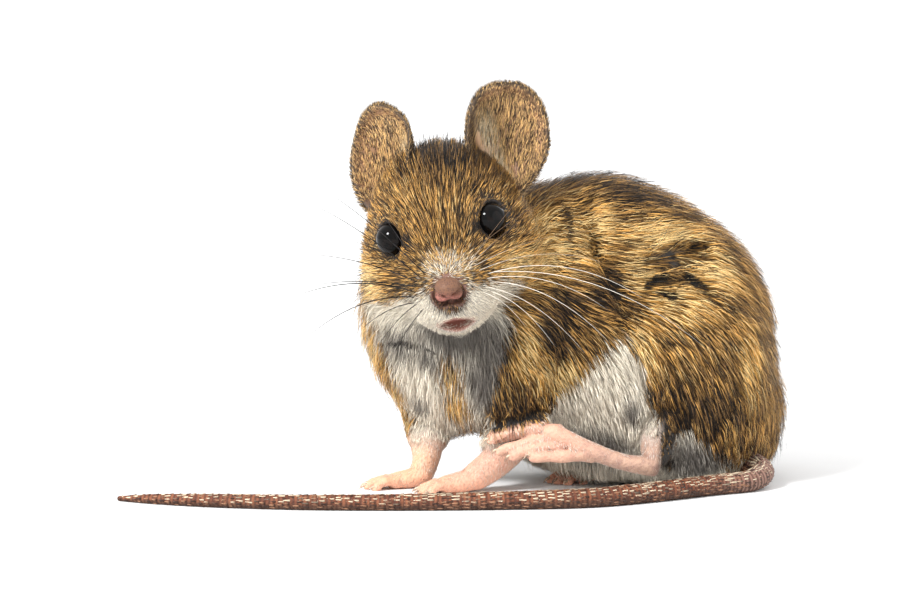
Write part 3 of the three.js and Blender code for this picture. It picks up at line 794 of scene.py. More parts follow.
GUIDES = [  # a place of the body, and the way that its hairs lie
    ((5, 9, 37), (0.9, 0.2, 0.1)), ((15, 8, 38), (1, 0, 0.05)), ((24, 9, 38), (0.95, 0, -0.3)),
    ((34, 10, 31), (0.65, 0, -0.75)), ((40, 10, 20), (0.15, 0, -1)), ((41, 8, 8), (-0.1, -0.3, -1)),
    ((12.5, -2, 28), (1, 0, -0.2)), ((16, -2, 27), (1, 0, -0.45)), ((18, -1, 33), (1, 0, -0.1)),
    ((21, -3.5, 26), (0.9, 0, -0.45)), ((24.5, -2, 27), (0.5, -0.3, 0.75)),
    ((26, -1, 29), (0.7, -0.2, 0.6)), ((29, 1, 31.4), (1, 0, 0.1)),
    ((27, -3, 23.6), (0.7, -0.1, -0.7)), ((32, -1, 26), (0.6, 0, -0.85)), ((35, 1, 28), (0.55, 0, -0.85)),
    ((24, -4, 18), (0.4, 0, -0.9)), ((31, -4.5, 18), (0.4, 0, -0.95)),
    ((37, -1, 16), (0.25, 0, -1)), ((30, -5, 9), (0.2, 0, -1)), ((38, 1, 6), (0.1, 0, -1)),
    ((9, -6.5, 19), (0.5, 0, -0.85)), ((9.5, -6.5, 12), (0.2, 0, -1)), ((15, -4, 18), (0.65, 0, -0.75)),
    ((18, -3.6, 12), (0.3, 0, -0.95)), ((-1, -5, 16), (0.05, -0.2, -1)), ((-8, -1, 18), (-0.35, 0, -1)),
    ((1, -6, 19), (0.1, 0.1, -1)), ((-4, 1, 10), (-0.1, 0, -1)), ((2, 14, 24), (0.4, 0.3, -0.85)),
    ((16, 22, 22), (0.8, 0, -0.6)), ((30, 26, 16), (0.4, 0, -0.9)), ((-6, 9, 26), (0.2, 0.5, -0.85)),
]


def outlined(points, corners, edge=0.8):
    """1 inside an outline of x and height without dents, on the front of the body, and 0 outside."""
    deep = np.full(len(points), 9.0)
    for (ax, az), (bx, bz) in zip(corners, corners[1:] + corners[:1]):
        length = math.hypot(bx - ax, bz - az)
        off = ((bx - ax) * (points[:, 2] - az) - (bz - az) * (points[:, 0] - ax)) / length
        deep = np.minimum(deep, off)
    return smoothstep(-edge, edge, deep) * (1 - smoothstep(2.6, 4.6, points[:, 1]))


def most(points, places, edge=0.4):
    """How far inside any of the places each point is."""
    return np.max([near(points, at, radii, edge) for at, radii in places], axis=0)


def headness(points):
    """1 on the head, 0 on the body, with the change across the neck."""
    head = to_head(points)
    skull = np.linalg.norm((head - [0, -0.6, 0.4]) / [10.6, 12.4, 10.4], axis=1)
    muzzle = np.linalg.norm((head - [0, -10.4, -3.0]) / [6.4, 7.4, 5.6], axis=1)
    return 1 - smoothstep(0.98, 1.22, np.minimum(skull, muzzle))


def pale_face(head):
    """The white of the muzzle and throat, and the cream hairs over the nose."""
    edge = -1.2 - 0.048 * head[:, 0] ** 2 - 0.12 * np.clip(head[:, 1] + 13, 0, 12)
    white = smoothstep(-1.5, 1.5, edge - head[:, 2])
    white *= 1 - near(head, NOSE_AT - [0, 0.0, 1.4], (2.1, 2.6, 2.0), 0.35)
    cream = 0.44 * near(head, (0.2, -12.6, 0.8), (3.6, 4.4, 2.1), 0.7)
    return np.maximum(white, cream)


def mouth_reach(head):
    """How far each point is from the mouth's middle: 1 at its edge."""
    x, _, z = (head - MOUTH["at"]).T
    wide, high = np.abs(x / MOUTH["half"]), np.abs((z - MOUTH["smile"] * x**2) / MOUTH["tall"])
    level = (wide**1.5 + high**1.5) ** (1 / 1.5)
    return np.where(head[:, 1] < MOUTH["at"][1] + 3.4, level, 9.0)


def markings(points):
    """The pale, gold and dark weights of the coat and of the skin under it; the gold weights also carry
    painted highlights, and the dark ones painted shade.
    """
    head = to_head(points)
    on_head = headness(points)
    pale_body = np.max([outlined(points, corners) for corners in PALE_SHAPES], axis=0)
    pale_body = np.maximum(pale_body, most(points, PALE_PLACES))
    pale_body *= 1 - 0.8 * most(points, BROWN_PLACES, 0.6)
    pale = pale_face(head) * on_head + pale_body * (1 - on_head)
    # gold: the hairs' bright bands, and painted highlights on the rounded masses
    gold = most(points, GOLD_AND_HIGHLIGHT_PLACES, 0.7) * (1 - pale)
    # dark: the black tips, and painted shade in the hollows and under the body's parts
    dark = most(points, DARK_AND_SHADE_PLACES, 0.7) * 0.55
    dark = np.maximum(dark, 0.4 * near(head, NOSE_AT - [0, 0, 1.4], (2.3, 2.6, 2.0), 0.4))
    dark *= 1 - 0.9 * near(head, (0.2, -12.4, 1.4), (3.6, 4.2, 1.6), 0.5)
    for sign in (1, -1):
        dark = np.maximum(dark, near(head * [sign, 1, 1], (4.3, -7.0, 3.2), (0.7, 0.7, 0.8)))
    return {"pale": pale, "gold": gold, "dark": np.clip(dark, 0, 1)}


def eye_reach(points):
    head = to_head(points)
    return np.min([np.linalg.norm(head - at, axis=1) for at in EYES_AT.values()], axis=0)


def nose_reach(head):
    return np.linalg.norm((head - NOSE_AT + [0, 0, 0.5]) / [1.0, 1.0, 1.05], axis=1)


def faded(least, weight):
    """The least share where the weight is 0, rising to 1 where it is 1."""
    return least + (1 - least) * weight


def weights_of(points):
    """What the form of the coat depends on at each point."""
    head, on_head = to_head(points), headness(points)
    return {
        "head": on_head,
        "bare": bareness(points),
        "limb": limbness(points),
        "nose": np.linalg.norm(head - NOSE_AT, axis=1),
        "off_eye": smoothstep(2.1, 5.0, eye_reach(points)),
        "off_mouth": smoothstep(0.9, 1.7, mouth_reach(head)),
        "off_foot": smoothstep(1.3, 4.2, limb_reach(points, ["hind_foot_left"])),
        "crest": near(head, *CREST, 0.5) * on_head,
        "cheek": near(head, *CHEEK, 0.5),
    }


def coat_length(points, at, settings):
    """Shortest by the nose, eyes, mouth and feet, and longest under the belly."""
    face = LENGTH["at_nose"] + LENGTH["growth"] * np.clip(at["nose"], *LENGTH["grows"])
    face = face * faded(LEAST["eye"], at["off_eye"]) * faded(LEAST["mouth"], at["off_mouth"])
    body = settings.body_length / MM * faded(LEAST["low"], smoothstep(2.0, 12.0, points[:, 2]))
    body *= 1 - LENGTH["arm"] * near(points, *LOWER_ARM, 0.6)
    body += LENGTH["belly"] * near(points, *BELLY_FUR, 0.4)
    body *= 1 - LENGTH["limb"] * at["limb"]
    body *= faded(LEAST["floor"], smoothstep(2.5, 7.0, points[:, 2])) * faded(LEAST["foot"], at["off_foot"])
    length = face * at["head"] + body * (1 - at["head"])
    return length * (1 - at["bare"]) + BARE["length"] * at["bare"]


def coat_height(points, at, length):
    """How far the tips stand off the skin: flat in the partings, and hanging under the belly."""
    body = STAND["body"] - STAND["limb"] * at["limb"]
    share = STAND["face"] * at["head"] + body * (1 - at["head"])
    share = share + STAND["crest"] * at["crest"] + STAND["cheek"] * at["cheek"]
    height = length * share * (1 - at["bare"]) + BARE["height"] * at["bare"]
    hanging = near(points, *FUR_BEHIND_FOOT, 0.3) + 1.1 * near(points, *HANGING_FUR, 0.4)
    height = height * faded(LEAST["foot"], at["off_foot"]) + STAND["hanging"] * hanging * (1 - at["limb"])
    for a, b, width in PARTINGS:
        height *= 1 - PARTED["height"] * beside(points, a, b, width * 1.1)
    return height * (1 - STAND["far"] * smoothstep(15, 21, points[:, 1]))


def coat_density(points, at, settings):
    """Hairs on each square millimetre, with none on the nose, the eyes and the mouth."""
    head = to_head(points)
    density = settings.face_density * at["head"] + settings.body_density * (1 - at["head"])
    density = density * (1 - at["bare"]) + BARE["density"] * at["bare"]
    density *= smoothstep(1.2, 1.45, nose_reach(head)) * smoothstep(2.2, 2.5, eye_reach(points))
    density *= smoothstep(0.7, 1.0, mouth_reach(head)) * (points[:, 2] > 0.35)
    for a, b, width in PARTINGS:
        density *= 1 - PARTED["density"] * beside(points, a, b, width)
    return density


def coat_form(points, settings):
    """The coat's length, height, density and how far its guard hairs stand, in metres."""
    at = weights_of(points)
    length = coat_length(points, at, settings)
    lift = LIFT["body"] * (1 - at["head"]) * at["off_foot"]
    lift = lift + LIFT["crest"] * at["crest"] + LIFT["cheek"] * at["cheek"]
    return {
        "fur_length": length * MM,
        "fur_height": coat_height(points, at, length) * MM,
        "fur_lift": lift * (1 - at["bare"]) * MM,
        "fur_density": coat_density(points, at, settings) / MM**2,
    }


def kept_off(flow, points, at, reach):
    """Turns the hairs round a place that they would otherwise cover."""
    towards = unit(at - points)
    strength = 1 - smoothstep(reach * 0.55, reach, np.linalg.norm(points - at, axis=1))
    inward = np.clip((flow * towards).sum(1), 0, None) * strength
    return flow - towards * (1.35 * inward)[:, None]


def lie_of_coat(points, normals):
    """The way the hairs point: away from the nose on the head, then as the guides say."""
    on_head = headness(points)[:, None]
    away = unit(points - from_head(NOSE_AT + [0, 1.5, 0]))
    total = np.zeros_like(points)
    for at, towards in GUIDES:
        reach = np.linalg.norm(points - np.array(at, float), axis=1)
        total += (np.exp(-((reach / 5.5) ** 2)) + 1e-6)[:, None] * unit(np.array(towards, float))
    flow = unit(away * on_head + unit(total) * (1 - on_head))
    for at in EYES_AT.values():
        flow = kept_off(flow, points, from_head(at), 4.2)
    flow = kept_off(flow, points, from_head(MOUTH["at"] + [0, 0.6, 0]), 3.4)
    for a, b, width in PARTINGS:
        opened = PARTED["turned"] * beside(points, a, b, width * 1.8)
        flow += unit(from_line(points, a, b)) * opened[:, None]
    flow -= normals * (flow * normals).sum(1, keepdims=True)
    return unit(flow)


def skin_depth(points):
    """How far the skin lies under the tips of the coat, in millimetres."""
    head = to_head(points)
    on_head = headness(points)
    from_nose = np.clip(np.linalg.norm(head - NOSE_AT, axis=1) - 2.5, 0, 20)
    face = SKIN_DEPTH["face"] + SKIN_DEPTH["growth"] * from_nose
    face *= smoothstep(2.4, 5.0, eye_reach(points)) * smoothstep(1.2, 3.4, mouth_reach(head))
    face *= smoothstep(1.8, 3.0, nose_reach(head))
    depth = face * on_head + SKIN_DEPTH["body"] * (1 - on_head)
    depth *= faded(SKIN_DEPTH["low"], smoothstep(1.5, 7.0, points[:, 2]))
    depth *= (1 - bareness(points)) * (1 - SKIN_DEPTH["limb"] * limbness(points))
    for a, b, width, deep in FOLDS:
        depth += deep * beside(points, a, b, width)
    return depth


# -------------------- skin
def grown_copy(joint, node, grow):
    """Adds a CAD node's shape, swollen by `grow` metres, to a bmesh."""
    copy = bmesh.new()
    copy.from_mesh(frame["nodes"][node].data)
    bmesh.ops.remove_doubles(copy, verts=copy.verts, dist=1e-6)
    copy.normal_update()
    for v, n in [(v, v.normal.copy()) for v in copy.verts]:
        v.co += n * grow
    held = mesh_of(copy, "copy")
    joint.from_mesh(held)
    bpy.data.meshes.remove(held)


def lid_frame(name):
    """The middle of an eye, the way that its lids open, and two ways across them."""
    axis = unit(EYE["looks"] * [SIDES[name], 1, 1])
    across = unit(np.cross(axis, [0, 0, 1.0]))
    over = np.cross(across, axis)
    return EYES_AT[name] + over * LID["rise"], axis, across, over


def lid_rings():
    """The rims of the eyelids, which touch the eyeballs."""
    made = []
    turn = np.linspace(0, 2 * np.pi, 49)
    for name in SIDES:
        at, axis, across, over = lid_frame(name)
        ring = np.outer(np.cos(turn), across) + np.outer(np.sin(turn) * LID["tall"], over)
        ring = at + axis * LID["forward"] + ring * (LID["radius"] + LID_RIM["outside"])
        made.append(tube(from_head(ring), [LID_RIM["radius"]] * 2, 10, 60, up=HEAD_TURN @ axis)[:2])
    return made


def snout():
    """The flesh behind the nose pad."""
    points, faces = round_ball(4)
    return from_head(points * SNOUT["radii"] + SNOUT["at"]), faces


def opened_lids(places):
    """Draws the skin round the eyes back to the rims of the lids."""
    head = to_head(places)
    for name in SIDES:
        at, axis, across, over = lid_frame(name)
        off = head - at
        forward, out, up = off @ axis, off @ across, off @ over / LID["tall"]
        wide = np.hypot(out, up)
        reach = np.linalg.norm(off, axis=1)
        top = LID["forward"] + LID["slope"] * (wide - LID["radius"])
        top = top + 3 * smoothstep(LID["reach"] * 0.7, LID["reach"], reach)
        pushed = np.minimum(forward, np.maximum(top, LID["forward"]))
        inside = (wide < LID["radius"]) & (forward > -0.6)
        spread = np.where(inside, LID["radius"] / np.maximum(wide, 0.2), 1)
        moved = at + np.outer(pushed, axis) + np.outer(out * spread, across)
        moved = moved + np.outer(up * spread * LID["tall"], over)
        head = np.where((reach < LID["reach"])[:, None], moved, head)
    return from_head(head)


def opened_mouth(places):
    """Sinks the mouth between the lips."""
    head = to_head(places)
    reach = mouth_reach(head)
    facing = smoothstep(MOUTH["at"][1] + 2.6, MOUTH["at"][1] + 1.6, head[:, 1])
    head[:, 1] += MOUTH["deep"] * (1 - smoothstep(0.55, 1.05, reach)) * facing
    lip = np.exp(-(((reach - 1.3) / 0.25) ** 2)) * facing
    head[:, 1] -= 0.10 * lip
    return from_head(head)


def eased(places, edges, weight, rounds):
    """Draws each vertex towards the middle of its neighbours, as far as its weight says."""
    count = np.bincount(edges.ravel(), minlength=len(places))[:, None]
    for _ in range(rounds):
        ends = [np.concatenate([places[edges[:, 1], k], places[edges[:, 0], k]]) for k in range(3)]
        who = np.concatenate([edges[:, 0], edges[:, 1]])
        sums = np.stack([np.bincount(who, e, minlength=len(places)) for e in ends], 1)
        places = places + (sums / np.maximum(count, 1) - places) * weight[:, None]
    return places


def joined_flesh(settings):
    """All the flesh as one closed mesh, out to the tips of the coat."""
    joint = bmesh.new()
    for node in FLESH:
        solid = node in ("head", "lower_jaw")
        grown_copy(joint, node, 0.00002 if solid else settings.seam)
    body = new_object("flesh", mesh_of(joint, "flesh"))
    extra = new_object("extra", mesh_from("extra", *gathered(limb_meshes() + lid_rings() + [snout()])))
    with bpy.context.temp_override(active_object=body, selected_editable_objects=[body, extra]):
        bpy.ops.object.join()
    grain = body.modifiers.new("grain", "REMESH")
    grain.mode, grain.voxel_size = "VOXEL", settings.voxel
    return flattened(body)


def shaped_skin(mesh):
    """Takes the facets off the flesh and sinks it under the coat."""
    edges = edges_of(mesh)
    places = to_drawing(places_of(mesh))
    head = to_head(places)
    on_head = headness(places)
    bare = bareness(places)
    detail = np.minimum(smoothstep(2.6, 4.4, eye_reach(places)), smoothstep(2.2, 4.0, nose_reach(head)))
    weight = 0.6 * (1 - 0.55 * on_head) * (1 - 0.94 * bare) * (0.05 + 0.95 * detail)
    places = eased(places, edges, weight, 70)
    places = opened_mouth(opened_lids(places))
    places = eased(places, edges, np.full(len(places), 0.3), 2)
    set_places(mesh, to_row(places))
    normals = normals_of(mesh)
    depth = skin_depth(places)
    places = places - normals * depth[:, None]
    places = eased(places, edges, 0.5 * (depth > 0.05), 6)
    places[:, 2] = np.maximum(places[:, 2], 0.02)
    set_places(mesh, to_row(places))


def thinned(mesh, most_triangles):
    """The same shape in fewer triangles."""
    piece = new_object("thinned", mesh)
    triangles = sum(len(p.vertices) - 2 for p in mesh.polygons)
    fewer = piece.modifiers.new("fewer", "DECIMATE")
    fewer.ratio = min(1, most_triangles / triangles)
    fewer.use_collapse_triangulate = True
    return flattened(piece)


def crease_shade_weight(mesh):
    """1 in the creases of the mesh and 0 elsewhere."""
    places, edges = to_drawing(places_of(mesh)), edges_of(mesh)
    even = np.ones(len(places))
    drawn = eased(places, edges, even, 3)
    inward = ((drawn - places) * normals_of(mesh)).sum(1)
    inward = eased(np.repeat(inward[:, None], 3, 1), edges, even * 0.5, 2)[:, 0]
    return smoothstep(0.01, 0.075, inward)


def dress(mesh, settings):
    """Stores the markings and the form of the coat on the skin, as they are out at its tips."""
    places, normals = to_drawing(places_of(mesh)), normals_of(mesh)
    # how hollow each point is, for the painted shade in the creases of the bare skin
    keep(mesh, hollow=crease_shade_weight(mesh))
    places = places + normals * skin_depth(places)[:, None]
    head = to_head(places)
    keep(mesh, **markings(places), **coat_form(places, settings), lie=lie_of_coat(places, normals))
    keep(
        mesh,
        bare=bareness(places),
        lips=1 - smoothstep(1.0, 1.3, mouth_reach(head)),
        mouth=1 - smoothstep(0.2, 0.8, mouth_reach(head + [0, 0, -0.35])),
        rim=1 - smoothstep(2.35, 2.6, eye_reach(places)),
        snout=1 - smoothstep(2.0, 2.9, nose_reach(head)),
    )


PAW_EDGES = (-8, 2, 12, 20, 27)  # where the skin's tone changes, from the forepaws to the heel


def under_coat(skin, coat):
    """Slate under the dark hairs, dull gold under the bright ones and grey under the pale ones."""
    pale = skin.attribute("pale")
    mottle = skin.noise(2.2).rising(0.35, 0.65)
    # the gold weight carries painted highlights and the dark weight painted shade, so the skin under the
    # coat takes both
    tone = skin.attribute("gold").between(coat.slate, dimmed(coat.gold, 0.2))
    tone = pale.between(tone, TONES["pale undercoat"])
    tone = skin.attribute("dark").between(tone, coat.slate)
    return (mottle * (1 - 0.7 * pale)).between(tone, dimmed(coat.slate, 0.7))


def bare_skin(skin, settings):
    """Pink on the forepaws, greyer from the hind feet to the heel, and blushed, most so at the soles."""
    across, height = skin.place.part(0), skin.place.part(2)
    blush = skin.noise(1.1, 3).rising(0.3, 0.7)
    x = [float(to_row((mm, 0, 0))[0]) for mm in PAW_EDGES]
    paw = across.rising(x[0], x[1]).between(TONES["forepaw"], settings.pink)
    paw = across.rising(x[2], x[3]).between(paw, settings.hind)
    paw = across.rising(x[3], x[4]).between(paw, dimmed(settings.hind, 0.5))
    warm = (blush * 0.4).between(paw, TONES["blush"])
    return height.rising(0.003, 0.0).between(warm, TONES["sole"])


def skin_finish(settings, coat):
    """Dark under the coat, pink and finely lined where it is bare, with painted shade in the creases of the
    bare skin and in the middle of the mouth.
    """
    skin = Finish("mouse skin", Specular_IOR_Level=0.4)
    bare, lips = skin.attribute("bare"), skin.attribute("lips")
    flesh = skin.attribute("snout").between(under_coat(skin, coat), TONES["snout"])
    flesh = lips.between(flesh, TONES["lips"])
    # the mouth's own dark pink, deepened as painted shade inside the shallow opening, most at its upper
    # middle
    flesh = skin.attribute("mouth").between(flesh, TONES["mouth"])
    flesh = bare.between(flesh, bare_skin(skin, settings))
    # painted shade: the bare skin is darkened in its creases
    flesh = (skin.attribute("hollow") * bare).between(flesh, TONES["painted crease shade"])
    flesh = skin.attribute("rim").between(flesh, TONES["lid rim"])
    creases = skin.cells(0.34).rising(0.0, 0.75)
    worn = 1 - (1 - creases) * 0.25 * bare.sum("MAXIMUM", lips)
    skin.coloured(worn.between(TONES["worn skin"], flesh), 0.62 - 0.2 * lips)
    skin.bumped(creases * 0.7 + skin.noise(0.25) * 0.3, 0.07)
    return skin.material


class MOUSE_OT_skin(bpy.types.Operator):
    """One skin over all the flesh, with lids, lips, digits and pads"""

    bl_idname = "mouse.skin"
    bl_label = "Skin"

    def execute(self, context):
        settings = context.scene.mouse_skin
        coat = context.scene.mouse_coat
        mesh = joined_flesh(settings)
        shaped_skin(mesh)
        mesh = thinned(mesh, settings.triangles)
        dress(mesh, coat)
        skin = new_object("skin", mesh, skin_finish(settings, coat))
        finished(skin, "skin", *FLESH, *LIMB_NODES)
        return {"FINISHED"}


# -------------------- eyes, nose, ears, tail, claws
class MOUSE_OT_eyes(bpy.types.Operator):
    """Two wet, black eyes"""

    bl_idname = "mouse.eyes"
    bl_label = "Eyes"

    def execute(self, context):
        wet = Finish("wet eye", Roughness=0.03, IOR=1.45, Specular_IOR_Level=0.16)
        brown = wet.noise(0.8).rising(0.4, 0.8)
        wet.coloured(brown.between(TONES["eye"], TONES["eye, brown"]))
        for name, at in EYES_AT.items():
            ball = bmesh.new()
            bmesh.ops.create_uvsphere(ball, u_segments=64, v_segments=40, radius=EYE["radius"] * MM)
            bmesh.ops.translate(ball, verts=ball.verts, vec=Vector(to_row(from_head(at))))
            eye = new_object("eyeball_" + name, mesh_of(ball, "eye"), wet.material)
            finished(eye, "eye", "eye_" + name)
        return {"FINISHED"}


def wrapped(masses, softness, centre):
    """A ball drawn out onto a smooth blend of ellipsoids: its points, its faces and their rays."""
    points, faces = round_ball(6)
    rays = unit(points)

    def field(p):
        best = np.full(len(p), 1e9)
        for at, radii in masses:
            q = (p - np.array(at)) / np.array(radii)
            size = np.linalg.norm(q, axis=1)
            d = size * (size - 1) / np.maximum(np.linalg.norm(q / np.array(radii), axis=1), 1e-9)
            h = np.clip(softness - np.abs(best - d), 0, None) / softness
            best = np.minimum(best, d) - h * h * softness / 4
        return best

    inner, outer = np.zeros(len(rays)), np.full(len(rays), 6.0)
    for _ in range(30):
        half = (inner + outer) / 2
        inside = field(centre + rays * half[:, None]) < 0
        inner, outer = np.where(inside, half, inner), np.where(inside, outer, half)
    return centre + rays * outer[:, None], faces, rays


# The nose pad, as steps from its middle on the animal's left side; the right side mirrors them.
NOSE_BALL = (1.55, 1.5, 1.2)
NOSE_WING = {"at": (0.82, 0.05, -0.85), "radii": (0.8, 1.1, 0.66)}
NOSTRIL = {"line": [(1.95, 0, -0.15), (1.3, -0.7, -0.55), (0.72, -1.25, -0.7)], "depth": 0.75, "width": 0.3}
CLEFT = {"line": [(0, -1.6, -0.4), (0, -1.2, -2.0)], "depth": 0.22, "width": 0.16}


class MOUSE_OT_nose(bpy.types.Operator):
    """The nose pad with its two wings and comma-shaped nostrils"""

    bl_idname = "mouse.nose"
    bl_label = "Nose"

    def execute(self, context):
        points, faces = self.form()
        pad = Finish("nose pad", Roughness=0.5, Specular_IOR_Level=0.2)
        grain = pad.cells(0.2).rising(0.0, 0.7)
        heights = [float(to_row(from_head(NOSE_AT + [0, -1, dz]))[2]) for dz in (-1.5, 0.3)]
        tone = pad.place.part(2).rising(*heights).between(TONES["nose, low"], TONES["nose, high"])
        pad.coloured(grain.between(TONES["nose, grain"], tone))
        pad.bumped(grain, 0.05)
        nose = new_object("nose_pad", mesh_from("nose", from_head(points), faces), pad.material)
        finished(nose, "nose_skin", "nose")
        return {"FINISHED"}

    @staticmethod
    def form():
        """The pad's points in the head's frame, with its nostrils and cleft sunk in, and its faces."""
        mirror = np.array([[sign, 1, 1] for sign in SIDES.values()])
        wings = [(NOSE_AT + NOSE_WING["at"] * side, NOSE_WING["radii"]) for side in mirror]
        points, faces, rays = wrapped([(NOSE_AT, NOSE_BALL), *wings], 0.5, NOSE_AT + [0, 0.2, -0.4])
        grooves = [(NOSTRIL, NOSE_AT + NOSTRIL["line"] * side) for side in mirror]
        for groove, line in [*grooves, (CLEFT, NOSE_AT + CLEFT["line"])]:
            for a, b in zip(line, line[1:]):
                sunk = groove["depth"] * beside(points, a, b, groove["width"])
                points = points - rays * sunk[:, None]
        return points, faces


def from_ear(points, name):
    """Points of an ear's own frame, in the frame of the solids' drawing."""
    spot = EAR_SET[name]
    return from_head(points @ turn_of(spot["turn"]).T + spot["at"])


def ear_dish(r, face, across, along, inward):
    """A thin cupped dish, with its rim rolled, its root folded and its front edge turned forwards."""
    root = np.maximum(0, -along)
    half = EAR["thick"] / 2 * (1 - 0.35 * r**2) * np.sqrt(np.maximum(0, 1 - r**14))
    y = (face * half)[:, None] + EAR["cup"] * (1 - across**2 - along**2) * (1 - 0.45 * along)
    y = y - EAR["fold"] * root * across**2
    y = y - EAR["roll"] * np.exp(-(((r - 0.94) / 0.05) ** 2))[:, None]
    ridge = np.exp(-(((across - 0.18) / 0.12) ** 2)) * smoothstep(0.1, 0.9, root)
    y = y - EAR["ridge"] * ridge * (face < 0)[:, None]
    y = y - EAR["front"] * smoothstep(0.5, 1.0, inward) * (1 - 0.5 * along)
    full = 1 + 0.2 * np.maximum(0, along) ** 2 * across**2
    narrow = 1 - 0.34 * root**1.6
    return np.stack([across * narrow * full * EAR["width"] / 2, y, along * full * EAR["height"] / 2], -1)


def ear_mesh(name):
    """An ear, as rings from the middle of its hollow, over its rim, to the middle of its back."""
    rows, turns = EAR["rows"], EAR["turns"]
    r = np.concatenate([[0], np.arange(1, rows + 1) / rows, np.arange(rows - 1, 0, -1) / rows, [0]])
    face = np.concatenate([-np.ones(rows), [0], np.ones(rows)])
    turn = np.linspace(0, 2 * np.pi, turns, endpoint=False)
    across, along = r[:, None] * np.sin(turn), r[:, None] * np.cos(turn)
    inward = -SIDES[name] * across
    form = ear_dish(r, face, across, along, inward).reshape(-1, 3)
    faces = []
    for i in range(len(r) - 1):
        for k in range(turns):
            a, b = i * turns + k, i * turns + (k + 1) % turns
            faces.append((a, b, b + turns, a + turns))
    mesh = mesh_from("ear", from_ear(form, name), faces)
    keep(mesh, reach=np.repeat(r, turns), along=along.ravel(), inward=inward.ravel())
    keep(mesh, inner=np.repeat((face < 0) * 1.0, turns))
    joint = bmesh.new()
    joint.from_mesh(mesh)
    bmesh.ops.remove_doubles(joint, verts=joint.verts, dist=2e-6)
    bmesh.ops.recalc_face_normals(joint, faces=joint.faces)
    joint.to_mesh(mesh)
    joint.free()
    return mesh


def ear_form(mesh, name):
    """Stores the form of the ear's hairs, which point from the root to the rim."""
    places, normals = to_drawing(places_of(mesh)), normals_of(mesh)
    flow = places - from_ear(np.array(EAR["base"]), name)
    flow -= normals * (flow * normals).sum(1, keepdims=True)
    reach, along, inward, inner = (
        read(mesh.attributes[stored].data, "value", 1)[:, 0].astype(float)
        for stored in ("reach", "along", "inward", "inner")
    )
    clear = np.linalg.norm((to_head(places) - [0, 3.2, 1.3]) / [9.6, 9.9, 9.1], axis=1)
    rim, roll = smoothstep(0.84, 0.97, reach), smoothstep(0.62, 0.84, reach)
    root, edge = smoothstep(0.1, 0.9, -along), smoothstep(0.60, 0.8, inward)
    line = np.abs(inward - 0.3 - 0.42 * along)
    cream = inner * (1 - smoothstep(0.08, 0.4, line)) * (1 - smoothstep(0.1, 0.7, along))
    keep(
        mesh,
        lie=unit(flow),
        fur_length=(1.6 - 0.8 * roll + 0.2 * root + 0.9 * cream) * MM,
        fur_height=(0.18 + 0.4 * roll + 0.45 * root + 0.35 * cream) * MM,
        fur_lift=np.full(len(places), 0.1 * MM),
        fur_density=(24 + 26 * rim + 16 * cream + 10 * root) * (clear > 0.7) / MM**2,
        pale=cream,
        gold=inner * (1 - edge) * 0.6,
        dark=np.clip(rim * 0.75 + edge + (1 - inner) * 0.5, 0, 1),
    )


class MOUSE_OT_ears(bpy.types.Operator):
    """Two thin, cupped ears"""

    bl_idname = "mouse.ears"
    bl_label = "Ears"

    def execute(self, context):
        thin = Finish("ear skin", Roughness=0.6, Specular_IOR_Level=0.35)
        rim = thin.attribute("reach").rising(0.86, 0.99)
        along, inner = thin.attribute("along"), thin.attribute("inner")
        mottle = thin.noise(1.6, 3).rising(0.3, 0.7)
        glow = mottle.between(TONES["ear"], TONES["ear, light"])
        # the cream under the pale hairs of the ear is partly their own tone and partly a painted glow of
        # light through the thin ear
        glow = (thin.attribute("pale") * 0.8).between(glow, TONES["ear, cream and painted glow"])
        hollow = along.rising(0.0, -0.8).between(glow, TONES["ear, deep"])
        back = inner.between(TONES["ear, back"], hollow)
        dark = thin.attribute("dark")
        thin.coloured(rim.sum("MAXIMUM", dark * 0.85).between(back, TONES["ear, rim"]))
        thin.bumped(thin.noise(0.5, 3) * 0.6 + thin.cells(0.3) * 0.4, 0.06)
        for name in SIDES:
            mesh = ear_mesh(name)
            ear_form(mesh, name)
            ear = new_object("ear_shell_" + name, mesh, thin.material)
            finished(ear, "ear_skin", "ear_" + name)
        return {"FINISHED"}


def tail_line(steps):
    """The tail's middle line, with its radius, way and run at each step."""
    path, marks = smooth_path(TAIL["path"], steps)
    radius = np.interp(marks, np.arange(len(TAIL["radii"])), TAIL["radii"])
    run = np.concatenate([[0], np.cumsum(np.linalg.norm(np.diff(path, axis=0), axis=1))])
    return path, radius, unit(np.gradient(path, axis=0)), run


class MOUSE_OT_tail(bpy.types.Operator):
    """The tail, ringed with fine scales"""

    bl_idname = "mouse.tail"
    bl_label = "Tail"

    def execute(self, context):
        steps = 1000
        path, _, _, run = tail_line(steps)
        wave = 0.5 + 0.5 * np.cos(2 * np.pi * run / TAIL["ring"])
        relief = 0.97 - 0.03 * wave**3
        points, faces, along = tube(TAIL["path"], TAIL["radii"], 28, steps, relief=relief)
        points[:, 2] = np.maximum(points[:, 2], 0.0)
        mesh = mesh_from("tail", points, faces)
        ring, none = np.interp(along, np.linspace(0, 1, steps), wave), np.zeros(len(points))
        keep(mesh, run=along, ring=ring, top=normals_of(mesh)[:, 2])
        keep(mesh, pale=none, gold=none, dark=none, fur_height=none + 0.15 * MM)
        tail = new_object("tail", mesh, self.finish())
        finished(tail, "tail_skin", "tail_base", "tail_middle", "tail_tip")
        return {"FINISHED"}

    @staticmethod
    def finish():
        """Pinkish grey at the root, brown above and reddish below."""
        scaly = Finish("tail skin", Roughness=0.65, Specular_IOR_Level=0.25)
        ring, place = scaly.attribute("ring"), scaly.attribute("run")
        top = scaly.attribute("top").rising(-0.3, 0.6)
        mottle = scaly.noise(1.3, 3).rising(0.35, 0.65)
        low = mottle.between(TONES["tail, reddish"], TONES["tail, red"])
        high = mottle.between(TONES["tail, dark"], TONES["tail, brown"])
        tone = top.between(low, high)
        tone = place.rising(0.2, 0.06).between(tone, TONES["tail, root"])
        scaly.coloured((ring * 0.8).between(tone, TONES["tail, groove"]))
        scaly.bumped(scaly.cells(0.3), 0.08)
        return scaly.material


